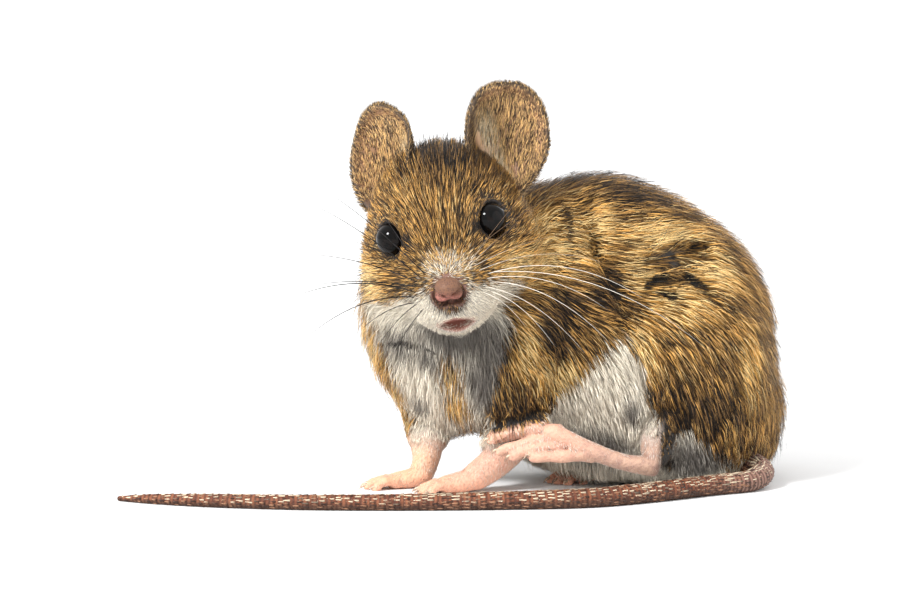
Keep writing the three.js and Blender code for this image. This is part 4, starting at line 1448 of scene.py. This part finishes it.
def tail_scales():
    """A short flat hair on every scale of the tail, in staggered rings, as a cloud of roots."""
    path, radius, way, run = tail_line(1000)
    side = unit(np.cross(way, [0, 0, 1.0]))
    back = np.cross(side, way)
    rng = np.random.default_rng(5)
    rows = []
    for number, at in enumerate(np.arange(1.2, run[-1] - 0.3, TAIL["tick"])):
        i = np.searchsorted(run, at)
        count = max(8, int(2 * np.pi * radius[i] / TAIL["scale"]))
        turn = (np.arange(count) + 0.5 * (number % 2) + rng.uniform(-0.14, 0.14, count)) * 2 * np.pi / count
        away = np.outer(np.cos(turn), side[i]) + np.outer(np.sin(turn), back[i])
        slip = rng.uniform(-0.3, 0.3, count) * TAIL["tick"]
        spots = path[i] + away * radius[i] * 0.97 + way[i] * slip[:, None]
        lies = np.repeat(way[i][None], count, 0)
        rows.append((spots, away, lies, np.full(count, at / run[-1]), turn / (2 * np.pi) % 1))
    spots, out, lies, shares, turns = (np.concatenate(column) for column in zip(*rows))
    seen = (spots[:, 2] > 0.12) & (near(spots, (34.5, 8, 6), (7, 6, 6), 0.05) < 0.5)
    mesh = mesh_from("scales", spots[seen], [])
    out, lies, shares, turns = out[seen], lies[seen], shares[seen], turns[seen]
    # painted highlight: the hairs that face up and towards the key light get pale, cream tips
    top = smoothstep(0.2, 0.6, out[:, 2] - 0.25 * out[:, 1] + rng.normal(0, 0.14, len(out)))
    keep(
        mesh,
        facing=out,
        lie=lies,
        fur_length=(2.5 - 0.5 * shares) * MM,
        fur_height=(0.15 + 0.1 * smoothstep(0.7, 1.0, shares)) * MM,
        fur_lift=np.full(len(out), 0.05 * MM),
        skin_map=np.stack([shares * 0.98 + 0.01, turns * 0.5 + 0.2, 0 * shares], 1),
        pale=top,
        gold=smoothstep(-0.4, 0.5, out[:, 2]) * (1 - top),
        dark=smoothstep(0.75, 1.0, shares) * 0.6,
    )
    return mesh


def claw(digit):
    """A claw that goes on from a digit and bends down."""
    tip, before = np.array(digit[-1], float), np.array(digit[-2], float)
    along = unit(tip - before)
    start = tip + along * 0.1 + [0, 0, 0.12]
    middle = tip + along * CLAW["length"] * 0.6 + [0, 0, 0.16]
    end = tip + along * CLAW["length"] - [0, 0, CLAW["drop"]]
    end[2] = max(end[2], 0.1)
    radius = CLAW["radius"]
    return tube([start, middle, end], [radius, radius * 0.75, radius * 0.12], 8, 9)[:2]


class MOUSE_OT_claws(bpy.types.Operator):
    """A small curved claw on every digit"""

    bl_idname = "mouse.claws"
    bl_label = "Claws"

    def execute(self, context):
        horn = Finish("claw horn", Roughness=0.3, Specular_IOR_Level=0.6)
        bands = horn.noise(0.5).rising(0.4, 0.7)
        horn.coloured(bands.between(TONES["claw"], TONES["claw, dark"]))
        horn.bumped(horn.noise(0.2), 0.02)
        parts = [claw(digit) for foot in FEET.values() for digit in foot["digits"]]
        claws = new_object("claws", mesh_from("claws", *gathered(parts)), horn.material)
        finished(claws, "skin")
        return {"FINISHED"}


# -------------------- coat
TUFT_INPUTS = {
    "Skin": "Object", "Planted": "Bool", "Tufts": "Float", "Hairs": "Float", "Width": "Float",
    "Clumps": "Float", "Pull": "Float", "Spread": "Float", "Seed": "Int", "Finish": "Material",
}
UV_PATCH = 0.003


class TuftTree(GeometryTree):
    """Grows closed, tapered hairs and tufts from a mesh that stores the form of its coat."""

    def __init__(self):
        super().__init__("tufts", TUFT_INPUTS)
        self.seed = 0
        skin = self.given("Geometry")
        bent = self.layer(skin, self.given("Tufts"), segments=2, root=0.6, upper=1.0)
        straight = self.layer(skin, self.given("Hairs"), segments=1, root=1.0, upper=0.0)
        both = self.tree.nodes.new("GeometryNodeJoinGeometry")
        for layer in (straight, bent):
            self.tree.links.new(layer.socket, both.inputs[0])
        self.give(self.make("GeometryNodeSetShadeSmooth", {"Geometry": Link(self, both.outputs[0])}))

    def layer(self, skin, share, segments, root, upper):
        """One sort of hair: where the roots are, what each one does, and its mesh."""
        scattered = self.scattered(skin, self.field("fur_density") * share)
        inputs = {"Switch": self.given("Planted"), "False": scattered, "True": skin}
        roots = self.make("GeometryNodeSwitch", inputs, input_type="GEOMETRY")
        roots = self.planned(roots, skin, upper)
        return self.bent(self.planted(roots, segments), root)

    def field(self, name, kind="FLOAT"):
        return self.make("GeometryNodeInputNamedAttribute", {"Name": name}, data_type=kind)

    def vector(self, name):
        return self.field(name, "FLOAT_VECTOR")

    def next_seed(self):
        self.seed += 1
        return self.given("Seed") * 50.0 + float(self.seed)

    def random(self, low, high):
        inputs = {"Min": low, "Max": high, "Seed": self.next_seed()}
        return self.make("FunctionNodeRandomValue", inputs, data_type="FLOAT")

    def scattered(self, skin, density):
        inputs = {"Mesh": skin, "Density": density, "Seed": self.next_seed()}
        kind = "GeometryNodeDistributePointsOnFaces"
        return self.make(kind, inputs, output="Points", distribute_method="RANDOM")

    def on_skin(self, whole, value, place):
        """A value of the skin, at the nearest point of it to a place."""
        kind = "FLOAT_VECTOR" if value.is_vector() else "FLOAT"
        inputs = {"Mesh": whole, "Value": value, "Sample Position": place}
        return self.make("GeometryNodeSampleNearestSurface", inputs, data_type=kind)

    def grain(self, place, size):
        """Noise whose grain is about `size` millimetres."""
        inputs = {"Vector": place, "Scale": 1 / (size * MM), "Detail": 1.0}
        return self.make("ShaderNodeTexNoise", inputs).rising(0.3, 0.7)

    def above_floor(self, place):
        height = place.part(2).sum("MAXIMUM", 0.00015)
        return self.make("ShaderNodeCombineXYZ", {0: place.part(0), 1: place.part(1), 2: height})

    def clump(self, skin, place, share):
        """The middle of the clump that each root belongs to."""
        clumps = self.scattered(skin, self.given("Clumps") * (share / MM**2))
        inputs = {0: clumps, "Sample Position": place}
        index = self.make("GeometryNodeSampleNearest", inputs, domain="POINT")
        inputs = {0: clumps, "Value": place, "Index": index}
        return self.make("GeometryNodeSampleIndex", inputs, data_type="FLOAT_VECTOR", domain="POINT")

    def leaning(self, place, up):
        """The way that a hair lies: as the skin says, with a swirl and a small turn of its own."""
        inputs = {"Vector": place, "Scale": 420.0, "Detail": 1.0}
        swirl = self.make("ShaderNodeTexNoise", inputs, output="Color") - (0.5, 0.5, 0.5)
        turn = self.random(-1.0, 1.0) * self.given("Spread")
        lie = (self.vector("lie") + swirl.times(self.given("Spread") * 2.2)).unit()
        inputs = {"Vector": lie, "Axis": up, "Angle": turn}
        return self.make("ShaderNodeVectorRotate", inputs, rotation_type="AXIS_ANGLE")

    def pulled(self, skin, place, centre):
        """How far a tip is drawn to the middle of its clump, and of a wider one round that."""
        near_pull = (centre - place).times(self.given("Pull"))
        return near_pull + (self.clump(skin, place, 0.16) - place).times(self.given("Pull") * 0.25)

    def planned(self, roots, skin, upper):
        """Stores where each hair bends and ends, on its root, and the colours that it shows there."""
        place = self.make("GeometryNodeInputPosition")
        facing = self.make("GeometryNodeInputNormal")
        whole = self.make("GeometryNodeObjectInfo", {"Object": self.given("Skin")}, output="Geometry")
        up = self.on_skin(whole, facing, place).unit()
        lie = self.leaning(place, up)
        guard = (self.random(0.0, 1.0) > 0.86) * upper
        lift = self.field("fur_lift") * guard * self.random(0.1, 1.0)
        length = self.field("fur_length") * self.random(0.7, 1.15) * (0.85 + 0.15 * upper)
        centre = self.clump(skin, place, 1.0)
        shade = self.grain(centre, 0.8)
        random_height = self.random(0.6, 1.0) * (0.7 + 0.5 * shade) * (0.8 + 0.3 * upper)
        pull = self.pulled(skin, place, centre)
        ahead = place + lie.times(length)
        under = self.on_skin(whole, place, ahead)
        over = self.on_skin(whole, facing, ahead).unit()
        low = self.on_skin(whole, self.field("fur_height"), ahead).sum("MINIMUM", self.field("fur_height"))
        tip = under + over.times(low * random_height + lift) + pull
        height = self.field("fur_height") * random_height
        knee = place + lie.times(length * 0.36) + up.times(height * 1.05 + lift * 0.4) + pull.times(0.3)
        width = self.given("Width") * self.random(0.7, 1.25) * (1 - 0.15 * guard)
        width = width * (1 - 0.25 * self.field("pale"))
        vectors = {
            "tuft_root": place - up.times(height * 0.2),
            "tuft_knee": self.above_floor(knee),
            "tuft_tip": self.above_floor(tip),
            "tuft_across": lie.cross(up).unit().times(width * 0.5),
            "tuft_over": up.times(width * 0.22),
        }
        for name, value in vectors.items():
            roots = self.kept(roots, name, value, "FLOAT_VECTOR")
        roots = self.kept(roots, "guard", guard)
        roots = self.kept(roots, "upper", upper)
        patch = shade * 0.45 + self.grain(place, 0.5) * 0.3 + self.grain(place, 2.6) * 0.25
        roots = self.kept(roots, "tuft_patch", patch)
        roots = self.coloured(roots, whole, place + lie.times(length * 0.65))
        return self.kept(roots, "tuft_random", self.random(0.0, 1.0))

    def coloured(self, roots, whole, shown):
        """Stores each hair's markings: the skin's where the hair shows, or its own if it was planted."""
        for name in ("pale", "gold", "dark"):
            there = self.on_skin(whole, self.field(name), shown)
            inputs = {"Switch": self.given("Planted"), "False": there, "True": self.field(name)}
            value = self.make("GeometryNodeSwitch", inputs, input_type="FLOAT")
            roots = self.kept(roots, name, value)
        return roots

    def planted(self, roots, segments):
        """A tapered spike of three sides on every root, with each corner's place on the spike."""
        inputs = {
            "Vertices": 3, "Side Segments": segments, "Radius Top": 0.0, "Radius Bottom": 1.0, "Depth": 1.0,
        }
        spike = self.make("GeometryNodeMeshCone", inputs, output="Mesh", fill_type="NGON")
        spike = self.kept(spike, "form", self.make("GeometryNodeInputPosition"), "FLOAT_VECTOR")
        spikes = self.make("GeometryNodeInstanceOnPoints", {"Points": roots, "Instance": spike})
        return self.make("GeometryNodeRealizeInstances", {0: spikes})

    def bent(self, tufts, root_width):
        """Draws every spike along its own curve and lays out its patch of the map."""
        form = self.vector("form")
        along = form.part(2)
        rest = 1 - along
        root, knee, tip = map(self.vector, ("tuft_root", "tuft_knee", "tuft_tip"))
        line = root.times(rest * rest) + knee.times(2 * along * rest) + tip.times(along * along)
        flat = self.make("ShaderNodeCombineXYZ", {"X": form.part(0), "Y": form.part(1)}).unit()
        swell = (root_width + 1.6 * along).sum("MINIMUM", 1.0) * (rest ** 0.6)
        wide = self.vector("tuft_across").times(flat.part(0) * swell)
        deep = self.vector("tuft_over").times(flat.part(1) * swell)
        tufts = self.make("GeometryNodeSetPosition", {"Geometry": tufts, "Position": line + wide + deep})
        tufts = self.kept(tufts, "along", along)
        patch = self.make("ShaderNodeCombineXYZ", {"X": form.part(0) * 0.5, "Y": along - 0.5})
        place = self.vector("skin_map") + patch.times(UV_PATCH)
        return self.kept(tufts, "OFBake", place, "FLOAT2", "CORNER")


FORM = ["lie", "fur_length", "fur_height", "fur_lift", "fur_density", "pale", "gold", "dark"]
PLANS = [
    "form", "tuft_root", "tuft_knee", "tuft_tip", "tuft_across", "tuft_over", "facing", "skin_map", "id",
]


def part_of(mesh, faces, chosen, name):
    """The chosen triangles of a mesh with all that it stores, unwrapped by its own shape."""
    picked = faces[chosen]
    used, corners = np.unique(picked, return_inverse=True)
    made = bpy.data.meshes.new(name)
    made.vertices.add(len(used))
    made.loops.add(len(picked) * 3)
    made.polygons.add(len(picked))
    made.vertices.foreach_set("co", places_of(mesh)[used].astype(np.float32).ravel())
    made.loops.foreach_set("vertex_index", corners.ravel().astype(np.int32))
    made.polygons.foreach_set("loop_start", np.arange(0, len(picked) * 3, 3, dtype=np.int32))
    made.update(calc_edges=True)
    for stored in FORM:
        field, size = ("vector", 3) if stored == "lie" else ("value", 1)
        keep(made, **{stored: read(mesh.attributes[stored].data, field, size)[used].squeeze()})
    piece = new_object(name, made)
    made.uv_layers.new(name="skin_map")
    bpy.ops.object.select_all(action="DESELECT")
    bpy.context.view_layer.objects.active = piece
    piece.select_set(True)
    bpy.ops.object.mode_set(mode="EDIT")
    bpy.ops.mesh.select_all(action="SELECT")
    bpy.ops.uv.smart_project(angle_limit=1.15, island_margin=0.006, scale_to_bounds=True)
    bpy.ops.object.mode_set(mode="OBJECT")
    return piece


def tufted(tree, emitter, name, slot, finish, sort, **inputs):
    """Grows tufts on the emitter and keeps them in its stead, as a plain mesh."""
    mesh = grown(tree, emitter, finish=finish, **inputs, **sort)
    for spare in [*PLANS, *FORM[:5]]:
        if spare in mesh.attributes:
            mesh.attributes.remove(mesh.attributes[spare])
    finished(new_object(name, mesh, finish), slot)


def parting_shade(fur):
    """1 in the openings of the coat, and 0 away from them."""
    deepest = None
    grain = fur.make("ShaderNodeTexNoise", {"Vector": fur.place, "Scale": 900.0}, output="Color")
    place = fur.place + (grain - (0.5, 0.5, 0.5)).times(1.3 * MM)
    for a, b, width in PARTINGS:
        start, end = Vector(to_row(a)), Vector(to_row(b))
        way = end - start
        off = place - start
        share = off.sum("DOT_PRODUCT", way) / way.length_squared
        share = share.sum("MINIMUM", 1.0).sum("MAXIMUM", 0.0)
        along = fur.make("ShaderNodeVectorMath", {0: way, "Scale": share}, operation="SCALE")
        reach = ((off - along) * (1.0, 0.3, 1.0)).sum("LENGTH")
        opened = reach.rising(width * 1.7 * MM, width * 0.9 * MM)
        deepest = opened if deepest is None else deepest.sum("MAXIMUM", opened)
    return deepest


class CoatFinish(Finish):
    """Agouti hairs, slate at the root, then gold or brown, and black at the tip; white-tipped below."""

    def __init__(self, settings):
        super().__init__("agouti coat", Roughness=0.42, Specular_IOR_Level=0.2)
        names = ("along", "tuft_random", "tuft_patch", "pale", "gold", "dark", "guard", "upper")
        self.along, self.chance, self.patch, self.pale, self.gold, self.dark, self.guard, self.upper = (
            self.attribute(name) for name in names
        )
        self.second, self.third, self.fourth = (
            (self.chance * share).sum("FRACT") for share in (7.31, 3.77, 5.13)
        )
        whitish = (self.pale + (self.chance - 0.5) * 0.8).rising(0.42, 0.58)
        tone = whitish.between(self.agouti(settings), self.white(settings))
        tone = (self.guard * (1 - self.pale)).between(tone, settings.black)
        # painted shade: the dark weight, which carries the shade of hollows and undersides, draws the coat
        # towards slate
        tone = (self.dark * 0.55).between(tone, dimmed(settings.slate, 0.8))
        # painted shade in the partings, darker than the slate roots themselves
        deep = parting_shade(self) * self.second.rising(0.88, 0.8)
        self.coloured(deep.between(tone, dimmed(settings.slate, 0.4)))

    def agouti(self, settings):
        """The banded hairs of the back, and the duller ones under them."""
        chance, patch, gold, dark = self.chance, self.patch, self.gold, self.dark
        # the gold weight brings painted highlights as well as golden bands, and the dark weight painted
        # shade as well as black tips
        golden = (chance * 0.6 + patch * 0.4 + gold * 0.6 - dark * 0.3).rising(0.2, 0.95)
        band = golden.between(settings.brown, settings.gold)
        light = (self.second + gold * 0.8 - dark * 0.4).rising(0.65, 1.25) * 0.9
        band = light.between(band, TONES["light band"])
        blacker = (self.third * 0.8 + (1 - patch) * 0.22 - gold * 0.35 + dark * 0.4).rising(0.61, 0.69)
        band = blacker.between(band, settings.black)
        low = (patch * 0.6 + gold * 0.7 - dark * 0.5 + chance * 0.3).rising(0.1, 1.2)
        low = low.between(settings.slate, dimmed(settings.gold, 0.62))
        band = self.upper.between(low, band)
        tipped = self.along.rising(0.84, 0.98) * (1 - gold * 0.7) * self.third.rising(0.75, 0.65)
        tone = self.along.rising(0.20, 0.46).between(settings.slate, band)
        return tipped.between(tone, settings.black)

    def white(self, settings):
        """The pale hairs of the belly and face, grey at the root and in places at the tip."""
        patch, dark = self.patch, self.dark
        # the dark weight greys the pale hairs, partly as painted shade under the haunch and chin
        grey = (self.fourth * 0.5 + (1 - patch) * 0.4 + dark * 1.9 - self.upper * 0.2).rising(0.3, 1.4)
        white = grey.between(settings.white, TONES["grey tip"])
        base = (dark * 1.6 + (1 - patch) * 0.5).rising(0.1, 1.1)
        base = base.between(TONES["pale root"], TONES["grey root"])
        return self.along.rising(0.1, 0.5).between(base, white)


def fine_finish(place):
    """Plain short hairs, between two tones from hair to hair, with pale ones that end in a third."""
    low, high, tip = FINE_HAIRS[place]
    hair = Finish("hairs of the " + place, Roughness=0.5, Specular_IOR_Level=0.35)
    chance, along = hair.attribute("tuft_random"), hair.attribute("along")
    pale, gold, dark = hair.attribute("pale"), hair.attribute("gold"), hair.attribute("dark")
    second = (chance * 7.31).sum("FRACT")
    tone = (chance * 1.3 + gold * 0.1 - dark * 0.3).rising(0.45, 1.05).between(low, high)
    tone = (pale * second.rising(0.25, 0.6)).between(tone, tip)
    hair.coloured((along.rising(0.0, 0.22) + pale * 0.8).between(low, tone))
    return hair.material


COAT_PARTS = {  # of each sort of hair, the parts of the coat and their slot
    "face": (("coat_face_left", "coat_face_right", "coat_crown"), "brown_fur"),
    "chest": (("coat_chest_left", "coat_chest_right"), "pale_fur"),
    "body": (
        ("coat_side", "coat_flank_left", "coat_flank_right", "coat_haunch_left", "coat_haunch_right"),
        "brown_fur",
    ),
    "feet": (("hair_of_feet",), "skin"),
}
# Of each sort of hair: the shares of bent tufts and of straight hairs, their width in metres, the clumps
# on each square millimetre and how far these draw the tips together, and how unevenly the hairs lie.
SORTS = {
    "face": {"tufts": 0.36, "hairs": 0.64, "width": 0.000105, "clumps": 5.0, "pull": 0.3, "spread": 0.15},
    "body": {"tufts": 0.27, "hairs": 0.73, "clumps": 1.5, "pull": 0.5, "spread": 0.16},
    "chest": {"tufts": 0.27, "hairs": 0.73, "clumps": 1.5, "pull": 0.5, "spread": 0.26},
    "feet": {"tufts": 0.0, "hairs": 1.0, "width": 0.00007, "clumps": 1.0, "pull": 0.0, "spread": 0.25},
    "ears": {"tufts": 0.0, "hairs": 1.1, "width": 0.00013, "clumps": 2.0, "pull": 0.1, "spread": 0.3},
    "tail": {"tufts": 1.0, "hairs": 1.0, "width": 0.00034, "clumps": 0.0, "pull": 0.0, "spread": 0.1},
}


def part_names(points):
    """The name of the part of the coat that each point belongs to."""
    head = to_head(points)
    on_head = headness(points) > 0.5
    x, y, z = points.T
    halves = [np.where(y < 9.2, name + "_left", name + "_right") for name in ("coat_flank", "coat_haunch")]
    names = np.where(y < 4.0, "coat_chest_left", "coat_chest_right")
    names = np.where((y > 4.0) & (z > 19.0), "coat_side", names)
    names = np.where(x > 12.5, halves[0], names)
    names = np.where(x > 25.5, halves[1], names)
    face = np.where(head[:, 0] > 0, "coat_face_left", "coat_face_right")
    names = np.where(on_head, np.where(head[:, 1] > -0.5, "coat_crown", face), names)
    return np.where(bareness(points) > 0.5, "hair_of_feet", names)


class MOUSE_OT_coat(bpy.types.Operator):
    """The coat, in overlapping tufts that follow its lie"""

    bl_idname = "mouse.coat"
    bl_label = "Coat"

    def execute(self, context):
        settings = context.scene.mouse_coat
        skin = bpy.data.objects["skin"]
        tree = TuftTree().tree
        fur = CoatFinish(settings).material
        fine = fine_finish("feet")
        faces = triangles_of(skin.data)
        names = part_names(to_drawing(places_of(skin.data)[faces].mean(1)))
        number = 11
        for kind, (parts, slot) in COAT_PARTS.items():
            sort = {"width": settings.width, **SORTS[kind]}
            for name in parts:
                emitter = part_of(skin.data, faces, names == name, name + "_emitter")
                finish = fine if kind == "feet" else fur
                tufted(tree, emitter, name, slot, finish, sort, skin=skin, seed=number)
                number += 1
        return {"FINISHED"}


class MOUSE_OT_fine_hair(bpy.types.Operator):
    """Fine hairs on the ears and on the scales of the tail"""

    bl_idname = "mouse.fine_hair"
    bl_label = "Fine hair"

    def execute(self, context):
        tree = bpy.data.node_groups["tufts"]
        ear = fine_finish("ears")
        for number, name in enumerate(SIDES):
            shell = bpy.data.objects["ear_shell_" + name]
            emitter = part_of(shell.data, triangles_of(shell.data), slice(None), "ear_emitter")
            hairs = "hair_of_ear_" + name
            tufted(tree, emitter, hairs, "ear_skin", ear, SORTS["ears"], skin=shell, seed=31 + number)
        tail = bpy.data.objects["tail"]
        emitter = new_object("tail_emitter", tail_scales(), smooth=False)
        tufted(
            tree, emitter, "hair_of_tail", "tail_skin", fine_finish("tail"), SORTS["tail"],
            skin=tail, seed=41, planted=True,
        )
        return {"FINISHED"}


# -------------------- whiskers
# For each whisker: its root on the muzzle, in the head's frame; how far its tip lies out to the side
# and up from it; its sag; and its thickness.
WHISKERS = {
    "right": [
        ((-3, -12.6, 1), (13.1, 10.5), 0.8, 1), ((-3.6, -12.4, 0.4), (14.4, 9.2), 0.9, 1),
        ((-4, -12.4, -0.2), (14.3, 3.1), 0.9, 1), ((-4.2, -12.4, -0.9), (12.6, -0.1), 0.7, 1.1),
        ((-4.4, -12.2, -1.6), (14.5, -1), 1.4, 1.2), ((-4.2, -12.4, -2.3), (13.7, -5.8), 1.8, 1.1),
        ((-4.8, -9.4, 2.4), (5.5, 7.5), 0.3, 0.8), ((-5.4, -9.6, 1.2), (8.5, 3.1), 0.4, 0.8),
        ((-3.8, -13, -2.9), (4.5, -4.8), 0.5, 0.8), ((-3, -13.4, -3.4), (3.4, -5.2), 0.4, 0.7),
        ((-4.4, -12.4, -3), (6.4, -3.4), 0.7, 0.9),
    ],
    "left": [
        ((2.6, -13.2, 0.9), (12.5, 14.5), 1, 0.9), ((3.4, -12.4, 1.2), (14.3, 10), 1.2, 0.8),
        ((6, -9.8, 2.3), (15.1, 7.9), 1.2, 0.8), ((4.1, -12, 1), (21.2, 3.1), 2.2, 0.8),
        ((4.3, -12.2, 0), (15, 0.7), 1.6, 0.8), ((5, -11.4, -1.2), (18.8, -3.3), 2.4, 1.3),
        ((5.8, -10.6, -1.4), (25.8, -9.5), 3, 1.1), ((4.6, -12, -1.6), (14.5, -3.9), 1.7, 1),
        ((5, -11.6, -2.3), (14.5, -7.7), 2, 1.1), ((4.3, -12.4, -2.6), (11.7, -8.1), 1.6, 0.9),
        ((4.4, -12.2, -3.2), (7.9, -6.9), 1.2, 0.9), ((3.6, -13, -2.9), (5, -4.2), 0.7, 0.8),
        ((7.4, -8.4, 4.6), (4.6, 7.4), 0.3, 0.7),
    ],
}
WHISKER_RADIUS = 0.000031
STOUT = {"left": 1.0, "right": 2.1}


def whisker_lines():
    """The line of every whisker, from its root on the pad of the muzzle to its tip, and its thickness."""
    skin = bpy.data.objects["skin"]
    lines = []
    for name, sign in SIDES.items():
        for start, (out, rise), sag, thick in WHISKERS[name]:
            _, root, _, _ = skin.closest_point_on_mesh(Vector(to_row(from_head(start))))
            root = to_drawing(np.array(root))
            tip = root + [sign * out, 0.26 * out + 0.4, rise]
            t = np.linspace(0, 1, 14)[:, None]
            line = root * (1 - t) + tip * t
            line[:, 2] += (4 * sag * t * (1 - t))[:, 0]
            line[:, 1] -= (0.12 * out * 4 * t * (1 - t))[:, 0]
            lines.append((line, thick * STOUT[name]))
    return lines


class WhiskerTree(GeometryTree):
    """Thickens each line into a whisker that tapers to its tip."""

    def __init__(self):
        super().__init__("whisker", {"Radius": "Float", "Finish": "Material"})
        along = self.make("GeometryNodeSplineParameter", output="Factor")
        radius = self.given("Radius") * ((1 - along) ** 0.6 + 0.12)
        radius = radius * self.make("GeometryNodeInputRadius")
        lines = self.make("GeometryNodeSetCurveRadius", {"Curve": self.given("Geometry"), "Radius": radius})
        lines = self.kept(lines, "along", along)
        inputs = {"Resolution": 5, "Radius": 1.0}
        ring = self.make("GeometryNodeCurvePrimitiveCircle", inputs, mode="RADIUS")
        thick = self.make("GeometryNodeInputRadius")
        inputs = {"Curve": lines, "Profile Curve": ring, "Scale": thick, "Fill Caps": True}
        hairs = self.make("GeometryNodeCurveToMesh", inputs)
        self.give(self.make("GeometryNodeRealizeInstances", {0: hairs}))


class MOUSE_OT_whiskers(bpy.types.Operator):
    """Long, tapered whiskers on both sides of the muzzle"""

    bl_idname = "mouse.whiskers"
    bl_label = "Whiskers"

    def execute(self, context):
        curves = bpy.data.curves.new("whisker lines", "CURVE")
        curves.dimensions = "3D"
        for line, thick in whisker_lines():
            spline = curves.splines.new("POLY")
            spline.points.add(len(line) - 1)
            for point, place in zip(spline.points, to_row(line)):
                point.co = (*place, 1)
                point.radius = thick
        hair, lines = self.finish(), placed("whisker lines", curves)
        mesh = grown(WhiskerTree().tree, lines, radius=WHISKER_RADIUS, finish=hair)
        finished(new_object("whiskers", mesh, hair), "brown_fur")
        return {"FINISHED"}

    @staticmethod
    def finish():
        """Dark on the animal's right and pale on its left."""
        hair = Finish("whisker", Roughness=0.5, Specular_IOR_Level=0.08)
        edge = float(to_row(from_head(NOSE_AT))[0])
        left = hair.place.part(0).rising(edge - 0.001, edge + 0.001)
        high = hair.place.part(2).rising(float(to_row((0, 0, 26))[2]), float(to_row((0, 0, 32))[2]))
        pale = high.between(TONES["whisker, light"], TONES["whisker, brown"])
        streak = hair.noise(3.0).rising(0.4, 0.6)
        dark = streak.between(TONES["whisker, black"], TONES["whisker, grey"])
        hair.coloured(left.between(dark, pale))
        return hair.material


# -------------------- stage
SUNS = {  # of each light: the side that it comes from, its width in degrees and its strength
    "key": ((-0.56, -0.56, 0.62), 14, 4.2),
    "fill": ((0.80, -0.52, 0.30), 70, 0.9),
    "back": ((0.30, 0.80, 0.55), 40, 0.7),
}
CAMERA = {"at": (0, -340, 50), "down": 4.5, "sensor": 36.0, "lens": 111.52, "clip": (0.01, 10.0)}
FLOOR_HALF = 3.0


class MOUSE_OT_stage(bpy.types.Operator):
    """A plain pale floor, soft studio light and the camera"""

    bl_idname = "mouse.stage"
    bl_label = "Stage"

    def execute(self, context):
        settings = context.scene.mouse_stage
        self.floor(settings)
        self.room(context.scene, settings)
        for name, light in SUNS.items():
            self.sun(name, *light)
        self.camera(context.scene)
        context.scene.view_settings.view_transform = "Standard"
        return {"FINISHED"}

    @staticmethod
    def floor(settings):
        paper = Finish("pale floor", Roughness=0.9)
        paper.coloured(paper.noise(6.0).between(settings.floor, dimmed(settings.floor, 0.97)))
        sheet = bmesh.new()
        bmesh.ops.create_grid(sheet, x_segments=2, y_segments=2, size=FLOOR_HALF)
        new_object("floor", mesh_of(sheet, "floor"), paper.material, smooth=False)

    @staticmethod
    def room(scene, settings):
        world = bpy.data.worlds.new("white room")
        world.use_nodes = True
        background = world.node_tree.nodes["Background"]
        background.inputs["Color"].default_value = (1, 1, 1, 1)
        background.inputs["Strength"].default_value = settings.studio
        scene.world = world

    @staticmethod
    def sun(name, comes_from, angle, strength):
        light = bpy.data.lights.new(name, "SUN")
        light.energy, light.angle = strength, math.radians(angle)
        placed(name, light).rotation_euler = Vector(comes_from).to_track_quat("Z", "Y").to_euler()

    @staticmethod
    def camera(scene):
        lens = bpy.data.cameras.new("camera")
        lens.sensor_width, lens.lens = CAMERA["sensor"], CAMERA["lens"]
        lens.clip_start, lens.clip_end = CAMERA["clip"]
        camera = placed("camera", lens)
        camera.location = Vector(to_row(CAMERA["at"]))
        camera.rotation_euler = (math.radians(90 - CAMERA["down"]), 0, 0)
        scene.camera = camera


# -------------------- add-on
STEPS = [
    MOUSE_OT_stage, MOUSE_OT_skin, MOUSE_OT_eyes, MOUSE_OT_nose, MOUSE_OT_ears, MOUSE_OT_tail,
    MOUSE_OT_claws, MOUSE_OT_coat, MOUSE_OT_fine_hair, MOUSE_OT_whiskers,
]


class MOUSE_PT_panel(bpy.types.Panel):
    """Lists the steps that build the mouse"""

    bl_idname = "MOUSE_PT_panel"
    bl_label = "Field mouse"
    bl_space_type = "VIEW_3D"
    bl_region_type = "UI"
    bl_category = "Field mouse"

    def draw(self, context):
        for step in STEPS:
            self.layout.operator(step.bl_idname)


SETTINGS = {
    "mouse_skin": MouseSkinSettings,
    "mouse_coat": MouseCoatSettings,
    "mouse_stage": MouseStageSettings,
}


def register():
    for kind in (*SETTINGS.values(), *STEPS, MOUSE_PT_panel):
        bpy.utils.register_class(kind)
    for name, kind in SETTINGS.items():
        setattr(bpy.types.Scene, name, bpy.props.PointerProperty(type=kind))


def unregister():
    for name in SETTINGS:
        delattr(bpy.types.Scene, name)
    for kind in (MOUSE_PT_panel, *reversed(STEPS), *SETTINGS.values()):
        bpy.utils.unregister_class(kind)


def main():
    register()
    for step in STEPS:
        group, name = step.bl_idname.split(".")
        getattr(getattr(bpy.ops, group), name)()


if __name__ == "__main__":
    main()
